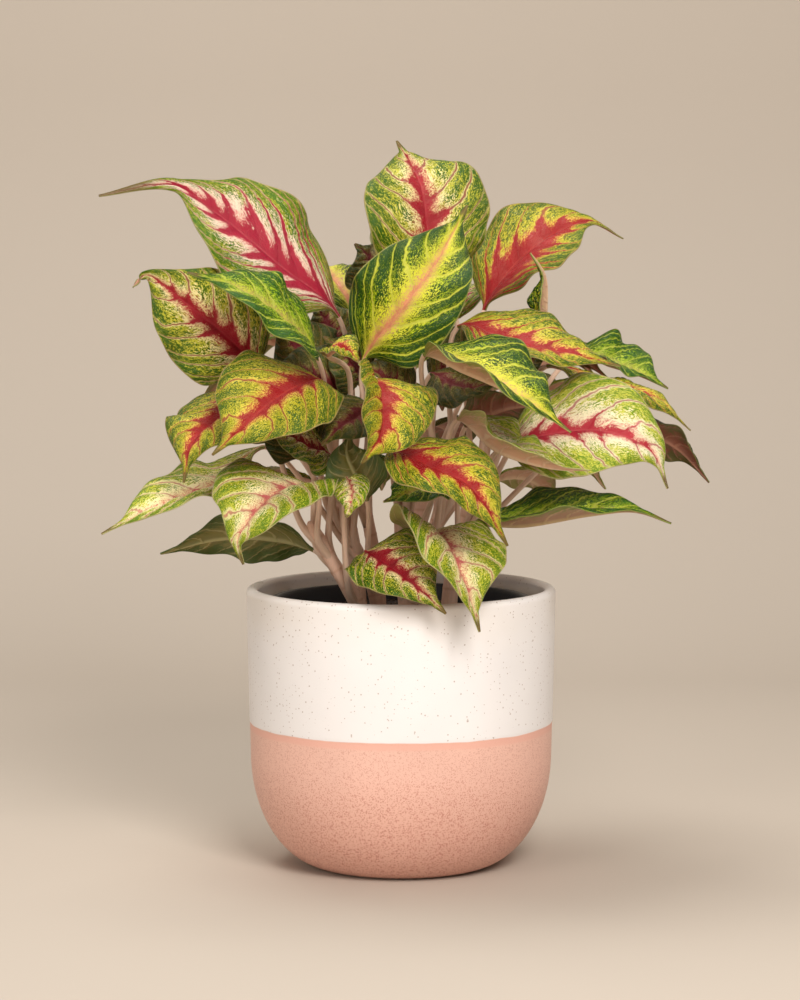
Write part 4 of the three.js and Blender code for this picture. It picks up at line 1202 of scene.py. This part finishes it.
def vein_relief(across, along, seed, veins):
    """How high the blade stands between its side veins, 0 on a vein and 1 half way."""
    out = np.abs(across)
    sweep = VEIN_SWEEP * out ** VEIN_BEND
    origin = (along - sweep) / (1 - sweep)
    even = origin + SWAY * np.sin(origin * SWAY_TURN + seed * SWAY_SHIFT)
    phase = even * veins + 0.5 * (across > 0) + seed
    between = np.abs((phase - np.floor(phase)) - 0.5) * -2 + 1
    return np.sqrt(np.clip(between, 0, 1))


def leaf_rings(tail):
    """Where a leaf's rings lie: -1 at the cane, 0 at the blade's base and 1 at its tip."""
    return np.concatenate([
        np.linspace(-1, 0, 27)[:-1], np.linspace(0, 0.12, 13)[:-1],
        np.linspace(0.12, 1 - tail, 60)[:-1], np.linspace(1 - tail, 1, 13)])


def leaf_frame(row, v):
    """How far up the leaf each ring lies, its middle, and its directions sideways and up."""
    walk, base = midrib(row)
    steps = np.linalg.norm(np.diff(walk, axis=0), axis=1)
    walked = np.concatenate([[0], np.cumsum(steps)])
    stalk, whole = walked[base], walked[-1]

    def along(distance):
        """The points at distances from the cane."""
        return np.stack([np.interp(distance, walked, walk[:, k]) for k in range(3)], -1)

    at = np.where(v < 0, (1 + v) * stalk, stalk + np.maximum(v, 0) * (whole - stalk))
    tangent = along(np.minimum(at + REACH, whole)) - along(np.maximum(at - REACH, 0))
    tangent /= np.linalg.norm(tangent, axis=1)[:, None]
    middle = stalk + FACE_AT * (whole - stalk)
    aim = along(middle + 4 * REACH) - along(middle - 4 * REACH)
    rightwards = np.cross(aim, row["face"])
    rightwards /= np.linalg.norm(rightwards)
    side = np.zeros_like(tangent)
    previous = rightwards
    for k in range(len(v) - 1, -1, -1):
        source = rightwards if v[k] > 0 else previous
        previous = source - tangent[k] * source.dot(tangent[k])
        previous /= np.linalg.norm(previous)
        side[k] = previous
    return at, along(at), side, np.cross(side, tangent)


def blade_section(row, v, s, seed, look):
    """Where the blade lies sideways and upwards, how it leans, and the midrib's depth."""
    blade = np.maximum(v, 0)[:, None]
    half = blade_half_width(np.maximum(v, 0), row)[:, None]
    fold = np.radians(row["fold"][0] + (row["fold"][1] - row["fold"][0]) * blade)
    curl = math.radians(row["curl"])
    out, sign = np.abs(s)[None, :], np.sign(s)[None, :]
    slope = fold - curl * out
    x = sign * half * (np.sin(fold) - np.sin(slope)) / curl
    h = half * (np.cos(slope) - np.cos(fold)) / curl

    # The waves of the margins, the rise between two veins and the channel over the midrib.
    waves = sum(share * np.sin(2 * math.pi * (number * blade + shift * seed) + apart * sign)
                for share, number, shift, apart in WAVES)
    body = smooth(blade, 0.02, 0.2) * smooth(blade, 1.0, 0.8 - row["tail"])
    lift = look["wave"] * waves * out ** 2.5 * body * np.minimum(half / 30, 1.2)
    quilting = vein_relief(s[None, :], blade, seed, look["veins"] * row["veins"])
    lift = lift + look["quilt"] * quilting * smooth(out, 0.02, 0.2) * smooth(out, 1.0, 0.8) * body
    from_rib = np.abs(x)
    lift = lift - look["groove"] * np.exp(-(from_rib / 1.7) ** 2) * (1 - 0.75 * blade)
    rib = look["rib_depth"] * np.exp(-(from_rib / 1.5) ** 2) * (1 - 0.8 * blade)
    return x, h + lift, sign * slope, rib


def leaf_points(row, v, s, seed, look):
    """How far up the leaf each ring lies, and its points: round on the petiole, flat on the
    blade, with the upper side first."""
    at, spine, side, up = leaf_frame(row, v)
    x, h, lean, rib = blade_section(row, v, s, seed, look)
    thin = look["blade"] / 2
    flat = smooth(np.maximum(v, 0)[:, None], 0, ROUND_END)
    neck = np.where(v < 0, PETIOLE_NECK + (PETIOLE_RADIUS - PETIOLE_NECK) * -v, PETIOLE_NECK)
    neck = (neck * (1 + SHEATH_SWELL * np.exp(-at / SHEATH)))[:, None]
    turn = math.pi * (1 - (np.arange(len(s)) + 0.5) / len(s))[None, :]
    sheets = []
    for face, offset in ((1, thin), (-1, -thin - rib)):
        round_x, round_h = neck * np.cos(turn), face * neck * np.sin(turn)
        across = round_x + (x - np.sin(lean) * offset - round_x) * flat
        above = round_h + (h + np.cos(lean) * offset - round_h) * flat
        sheets.append(spine[:, None] + side[:, None] * across[..., None]
                      + up[:, None] * above[..., None])
    return at, np.concatenate([sheets[0], sheets[1][:, ::-1]], axis=1)


def leaf_mesh(row, seed, blush, look, materials):
    """A petiole and its blade as one closed mesh. The materials are those of the upper side,
    the under side and the stalk."""
    v, s = leaf_rings(row["tail"]), places_across()
    at, rings = leaf_points(row, v, s, seed, look)
    rows, count = rings.shape[:2]
    index = np.arange(rows * count).reshape(rows, count)
    after = np.roll(index, -1, axis=1)
    quads = np.stack([index[:-1], after[:-1], after[1:], index[1:]], -1).reshape(-1, 4)
    faces = quads.tolist() + [index[0][::-1].tolist(), index[-1].tolist()]
    mesh = bpy.data.meshes.new(f"foliage_{row['name']}")
    mesh.from_pydata((rings.reshape(-1, 3) * MM).tolist(), [], faces)

    upper, under, stalk = range(3)
    on_blade = (v[:-1] >= BLADE_FROM)[:, None]
    sides = np.where(np.arange(count) < len(s) - 1, upper, under)[None, :]
    kinds = np.where(on_blade, sides, stalk).ravel()
    kinds = np.concatenate([kinds, [stalk, under]]).astype(np.int32)
    for material in materials:
        mesh.materials.append(material)
    mesh.polygons.foreach_set("material_index", kinds)

    # What the materials read, and the UV map.
    across, along, walked, turn = np.broadcast_arrays(
        np.concatenate([s, s[::-1]]), v[:, None], at[:, None],
        np.arange(count) * 2 * math.pi / count)
    span = np.stack([np.cos(turn) * 1.6, np.sin(turn) * 1.6, walked * 0.05 + seed * 50], -1)
    facts = np.broadcast_to((seed, row["width"] / 75, blush), span.shape)
    tip = smooth(along, 1 - row["tail"] * 0.95, 1 - row["tail"] * 0.45)
    habit = np.stack(np.broadcast_arrays(row["lean"], tip, look["veins"] * row["veins"]), -1)
    for name, values in (("across", across), ("along", along)):
        store(mesh, name, "FLOAT", values)
    for name, values in (("span", span), ("facts", facts), ("habit", habit)):
        store(mesh, name, "FLOAT_VECTOR", values)
    uv = mesh.uv_layers.new(name="blade")
    corner = np.empty(len(mesh.loops), np.int32)
    mesh.loops.foreach_get("vertex_index", corner)
    places = 0.5 + 0.5 * np.stack([across.ravel()[corner], along.ravel()[corner]], -1)
    uv.data.foreach_set("uv", places.astype(np.float32).ravel())
    mesh.shade_smooth()
    return mesh


def store(mesh, name, kind, values):
    """Stores numbers or vectors on a mesh's points."""
    layer = mesh.attributes.new(name, kind, "POINT")
    field = "vector" if kind == "FLOAT_VECTOR" else "value"
    layer.data.foreach_set(field, np.ascontiguousarray(values, np.float32).ravel())


# ------------------------------------------------------------------ geometry trees

def geometry_tree(name, inputs):
    """A new geometry tree: its net, the sockets that come in and the one that goes out."""
    tree = bpy.data.node_groups.new(name, "GeometryNodeTree")
    tree.interface.new_socket(name="Geometry", in_out="INPUT", socket_type="NodeSocketGeometry")
    for label, (kind, default) in inputs.items():
        socket = tree.interface.new_socket(name=label, in_out="INPUT", socket_type=kind)
        if default is not None:
            socket.default_value = default
    tree.interface.new_socket(name="Geometry", in_out="OUTPUT", socket_type="NodeSocketGeometry")
    net = Net(tree)
    return net, net.add("NodeGroupInput").outputs, net.add("NodeGroupOutput").inputs


def made_by(tree, mesh, values):
    """The plain mesh that a geometry tree makes out of another mesh."""
    maker = bpy.data.objects.new(tree.name, mesh)
    bpy.context.scene.collection.objects.link(maker)
    modifier = maker.modifiers.new(tree.name, "NODES")
    modifier.node_group = tree
    for item in tree.interface.items_tree:
        if item.in_out == "INPUT" and item.name in values:
            modifier[item.identifier] = values[item.name]
    graph = bpy.context.evaluated_depsgraph_get()
    made = bpy.data.meshes.new_from_object(maker.evaluated_get(graph), depsgraph=graph)
    maker.modifiers.remove(modifier)
    bpy.data.objects.remove(maker)
    return made


def cane_tree():
    """A tapered cane along a path, with a swollen ring at each leaf scar."""
    net, given, made = geometry_tree("cane", {
        "Radius": (NUMBER, 0.005), "Taper": (NUMBER, CANE_TAPER),
        "Ring Spacing": (NUMBER, RING_SPACING), "Ring Swell": (NUMBER, RING_SWELL),
        "Sides": ("NodeSocketInt", CANE_SIDES), "Material": ("NodeSocketMaterial", None)})
    path = net.add("GeometryNodeMeshToCurve", {0: given["Geometry"]}).outputs[0]
    spline = net.add("GeometryNodeSplineParameter").outputs
    near = net.math("PINGPONG", spline["Length"], net.times(given["Ring Spacing"], 0.5))
    ring = net.step(near, RING_HALF_WIDTH, 0.0)
    thin = net.less(1.0, net.times(spline["Factor"], given["Taper"]))
    tip = net.add("ShaderNodeMapRange", {0: spline["Factor"], 1: DOME_FROM, 2: 1.0}).outputs[0]
    dome = net.math("SQRT", net.less(1.02, net.times(tip, tip)))
    swell = net.plus(1.0, net.times(ring, given["Ring Swell"]))
    radius = net.times(given["Radius"], net.times(net.times(thin, dome), swell))
    marked = net.mark(path, "ring", ring, "POINT")
    section = net.add("GeometryNodeCurvePrimitiveCircle", {"Resolution": given["Sides"],
                                                           "Radius": 1.0})
    tube = net.add("GeometryNodeCurveToMesh", {
        "Curve": marked, "Profile Curve": section.outputs[0], "Scale": radius,
        "Fill Caps": True})
    net.feed(made[0], net.dress(tube.outputs[0], given["Material"]))
    return net.tree


def crumb_tree():
    """Crumbs of bark and grit scattered over the soil."""
    net, given, made = geometry_tree("crumbs", {
        "Crumb Size": (NUMBER, CRUMB_SIZE), "Density": (NUMBER, CRUMB_DENSITY),
        "Seed": ("NodeSocketInt", SOIL_SEED), "Material": ("NodeSocketMaterial", None)})
    normal = net.add("GeometryNodeInputNormal").outputs[0]
    facing = net.math("GREATER_THAN", net.split(normal)[2], 0.6)
    spots = net.add("GeometryNodeDistributePointsOnFaces", {
        "Mesh": given["Geometry"], "Selection": facing, "Density": given["Density"],
        "Seed": given["Seed"]}, distribute_method="RANDOM")
    seed = given["Seed"]
    turned = net.draw_point(seed, (0.0,) * 3, (math.tau,) * 3)
    stretch = net.draw_point(net.plus(seed, 9.0), *CRUMB_STRETCH)
    grow = net.plus(0.25, net.times(0.9, net.math("POWER", net.draw(net.plus(seed, 5.0)), 2.5)))
    scale = net.add("ShaderNodeVectorMath", {
        0: stretch, "Scale": net.times(grow, given["Crumb Size"])}, operation="SCALE")
    stone = net.add("GeometryNodeMeshIcoSphere", {"Radius": 1.0, "Subdivisions": 2})
    rough = net.add("ShaderNodeTexNoise", {"Scale": 1.3, "Detail": 1.0})
    dents = net.add("ShaderNodeVectorMath", {0: rough.outputs[1], 1: (-0.5,) * 3},
                    operation="ADD")
    knobbly = net.add("GeometryNodeSetPosition", {"Geometry": stone.outputs[0],
                                                  "Offset": dents.outputs[0]})
    laid = net.add("GeometryNodeInstanceOnPoints", {
        "Points": spots.outputs[0], "Instance": knobbly.outputs[0],
        "Rotation": turned, "Scale": scale.outputs[0]})
    toned = net.mark(laid.outputs[0], "tone", net.draw(net.plus(seed, 17.0)), "INSTANCE")
    dressed = net.dress(toned, given["Material"])
    both = net.add("GeometryNodeJoinGeometry")
    net.feed(both.inputs[0], dressed)
    net.feed(both.inputs[0], given["Geometry"])
    net.feed(made[0], both.outputs[0])
    return net.tree


# ------------------------------------------------------------------ operators

def backdrop_profile():
    """The section of the sweep, from the front of the floor to the top of the wall."""
    middle = BACKDROP_AT - BACKDROP_BEND
    profile = [(-FLOOR_REACH, 0.0), (middle, 0.0)]
    for k in range(1, BEND_STEPS + 1):
        turn = math.pi / 2 * k / BEND_STEPS
        profile.append((middle + BACKDROP_BEND * math.sin(turn),
                        BACKDROP_BEND - BACKDROP_BEND * math.cos(turn)))
    return [*profile, (BACKDROP_AT, BACKDROP_HEIGHT)]


class EVERGREEN_OT_stage(bpy.types.Operator):
    """Sets up a pale floor and backdrop, soft light and the camera"""
    bl_idname = "evergreen.stage"
    bl_label = "Stage"

    def execute(self, context):
        settings = context.scene.evergreen_stage
        profile = backdrop_profile()
        points = [(x, y, z) for y, z in profile for x in (-FLOOR_REACH, FLOOR_REACH)]
        faces = [(2 * k, 2 * k + 1, 2 * k + 3, 2 * k + 2) for k in range(len(profile) - 1)]
        mesh = bpy.data.meshes.new("backdrop")
        mesh.from_pydata(points, [], faces)
        mesh.materials.append(backdrop_material(settings.ground))
        mesh.shade_smooth()
        backdrop = bpy.data.objects.new("backdrop", mesh)
        context.scene.collection.objects.link(backdrop)

        for name, (place, size, colour) in LIGHTS.items():
            self.add_light(context, name, getattr(settings, name), place, size, srgb(colour))
        world = bpy.data.worlds.new("studio")
        world.use_nodes = True
        net = Net(world.node_tree)
        seen = net.add("ShaderNodeLightPath").outputs["Is Camera Ray"]
        sky = world.node_tree.nodes["Background"].inputs
        net.feed(sky[0], net.blend(seen, srgb(SKY), settings.ground))
        net.feed(sky[1], settings.ambient)
        context.scene.world = world

        camera = bpy.data.cameras.new("camera")
        camera.lens = settings.lens
        camera.sensor_fit = "VERTICAL"
        camera.sensor_height = 36
        view = bpy.data.objects.new("camera", camera)
        view.location = CAMERA_PLACE
        view.rotation_euler = (math.radians(90 - CAMERA_DOWN), 0, 0)
        context.scene.collection.objects.link(view)
        context.scene.camera = view
        context.scene.view_settings.view_transform = "Standard"
        return {"FINISHED"}

    def add_light(self, context, name, power, place, size, colour):
        """A large square light that looks at the middle of the plant."""
        light = bpy.data.lights.new(name, "AREA")
        light.energy = power
        light.size = size
        light.color = colour
        lamp = bpy.data.objects.new(name, light)
        lamp.location = place
        aim = Vector(LIT_POINT) - lamp.location
        lamp.rotation_euler = aim.to_track_quat("-Z", "Y").to_euler()
        context.scene.collection.objects.link(lamp)


class EVERGREEN_OT_ceramic_pot(bpy.types.Operator):
    """Turns the ceramic pot and gives it its two glazes"""
    bl_idname = "evergreen.ceramic_pot"
    bl_label = "Ceramic pot"

    def execute(self, context):
        settings = context.scene.evergreen_pot
        profile, inner_from = pot_profile()
        mesh = lathe("glazed_pot", profile, settings.sides, POT_WOBBLE, inner_from)
        mesh.materials.append(ceramic_material(settings))
        add_piece("glazed_pot", mesh, ["ceramic_pot"])
        return {"FINISHED"}


class EVERGREEN_OT_nursery_pot(bpy.types.Operator):
    """Turns the plastic pot that stands inside the ceramic one"""
    bl_idname = "evergreen.nursery_pot"
    bl_label = "Nursery pot"

    def execute(self, context):
        settings = context.scene.evergreen_pot
        mesh = lathe("plastic_pot", nursery_profile(), settings.sides, NURSERY_WOBBLE)
        mesh.materials.append(plastic_material(settings.plastic))
        add_piece("plastic_pot", mesh, ["nursery_pot"])
        return {"FINISHED"}


class EVERGREEN_OT_soil(bpy.types.Operator):
    """Fills the nursery pot with soil and scatters crumbs over it"""
    bl_idname = "evergreen.soil"
    bl_label = "Soil"

    def execute(self, context):
        settings = context.scene.evergreen_soil
        mesh = lathe("soil", soil_profile(), 180)
        points = np.empty(len(mesh.vertices) * 3, np.float32)
        mesh.vertices.foreach_get("co", points)
        points = points.reshape(-1, 3)
        mounds = soil_mounds(points, np.random.default_rng(settings.seed))
        top = smooth(points[:, 2], (SOIL_TOP - 0.5) * MM, (SOIL_TOP + 0.5) * MM)
        points[:, 2] += mounds * MM * MOUND_HEIGHT * top - MOUND_SINK * MM * top
        mesh.vertices.foreach_set("co", points.ravel())
        mesh.materials.append(soil_material(settings.colour))
        crumbs = crumb_material(scaled(settings.colour, 0.5), settings.crumb)
        made = made_by(crumb_tree(), mesh, {
            "Crumb Size": settings.crumb_size, "Density": settings.density,
            "Seed": settings.seed, "Material": crumbs})
        add_piece("potting_soil", made, ["soil"])
        return {"FINISHED"}


class EVERGREEN_OT_canes(bpy.types.Operator):
    """Grows the canes out of the soil"""
    bl_idname = "evergreen.canes"
    bl_label = "Canes"

    def execute(self, context):
        settings = context.scene.evergreen_canes
        tree = cane_tree()
        bark = cane_material(settings.bark, settings.scar)
        for name, (path, radius) in CANES.items():
            points = grown(path, 48) * MM
            guide = bpy.data.meshes.new(f"path_{name}")
            edges = [(k, k + 1) for k in range(len(points) - 1)]
            guide.from_pydata(points.tolist(), edges, [])
            made = made_by(tree, guide, {
                "Radius": radius * MM * settings.stoutness, "Taper": CANE_TAPER,
                "Ring Spacing": settings.ring_spacing, "Ring Swell": settings.ring_swell,
                "Sides": settings.sides, "Material": bark})
            shell = bmesh.new()
            shell.from_mesh(made)
            bmesh.ops.recalc_face_normals(shell, faces=shell.faces)
            shell.to_mesh(made)
            shell.free()
            made.shade_smooth()
            add_piece(f"stem_{name}", made, [f"cane_{name}"])
        return {"FINISHED"}


class EVERGREEN_OT_leaves(bpy.types.Operator):
    """Grows every leaf, a petiole and its blade in one piece"""
    bl_idname = "evergreen.leaves"
    bl_label = "Leaves"

    def execute(self, context):
        settings = context.scene.evergreen_leaves
        look = {"blade": settings.blade / MM, "rib_depth": settings.rib_depth / MM,
                "groove": settings.groove / MM, "quilt": settings.quilt / MM,
                "wave": settings.wave / MM, "veins": settings.veins}
        stalk = petiole_material(settings.petiole)
        uppers = {finish: upper_material(finish) for finish in FINISHES}
        unders = {finish: under_material(finish) for finish in FINISHES}
        draw = random.Random(LEAF_SEED)
        for row in LEAVES + INNER_LEAVES:
            seed = draw.random()
            blush = row["blush"] * draw.uniform(0.85, 1.15)
            dress = (uppers[row["look"]], unders[row["look"]], stalk)
            mesh = leaf_mesh(row, seed, blush, look, dress)
            nodes = [f"leaf_{row['name']}"] if row in LEAVES else []
            add_piece(f"foliage_{row['name']}", mesh, nodes)
        return {"FINISHED"}


STEPS = (EVERGREEN_OT_stage, EVERGREEN_OT_ceramic_pot, EVERGREEN_OT_nursery_pot,
         EVERGREEN_OT_soil, EVERGREEN_OT_canes, EVERGREEN_OT_leaves)
SETTINGS = {"evergreen_pot": EvergreenPotSettings, "evergreen_soil": EvergreenSoilSettings,
            "evergreen_canes": EvergreenCaneSettings, "evergreen_leaves": EvergreenLeafSettings,
            "evergreen_stage": EvergreenStageSettings}


class EVERGREEN_PT_sidebar(bpy.types.Panel):
    """Lists the steps that build the plant"""
    bl_idname = "EVERGREEN_PT_sidebar"
    bl_label = "Potted Evergreen"
    bl_space_type = "VIEW_3D"
    bl_region_type = "UI"
    bl_category = "Evergreen"

    def draw(self, context):
        for step in STEPS:
            self.layout.operator(step.bl_idname)
        for name, settings in SETTINGS.items():
            group_of = getattr(context.scene, name)
            box = self.layout.box()
            box.label(text=settings.__doc__)
            for key in settings.__annotations__:
                box.prop(group_of, key)


def register():
    for name, settings in SETTINGS.items():
        bpy.utils.register_class(settings)
        setattr(bpy.types.Scene, name, PointerProperty(type=settings))
    for step in STEPS:
        bpy.utils.register_class(step)
    bpy.utils.register_class(EVERGREEN_PT_sidebar)


def unregister():
    bpy.utils.unregister_class(EVERGREEN_PT_sidebar)
    for step in reversed(STEPS):
        bpy.utils.unregister_class(step)
    for name, settings in SETTINGS.items():
        delattr(bpy.types.Scene, name)
        bpy.utils.unregister_class(settings)


def main():
    """Builds the whole plant."""
    register()
    for step in STEPS:
        family, name = step.bl_idname.split(".")
        getattr(getattr(bpy.ops, family), name)()


if __name__ == "__main__":
    main()
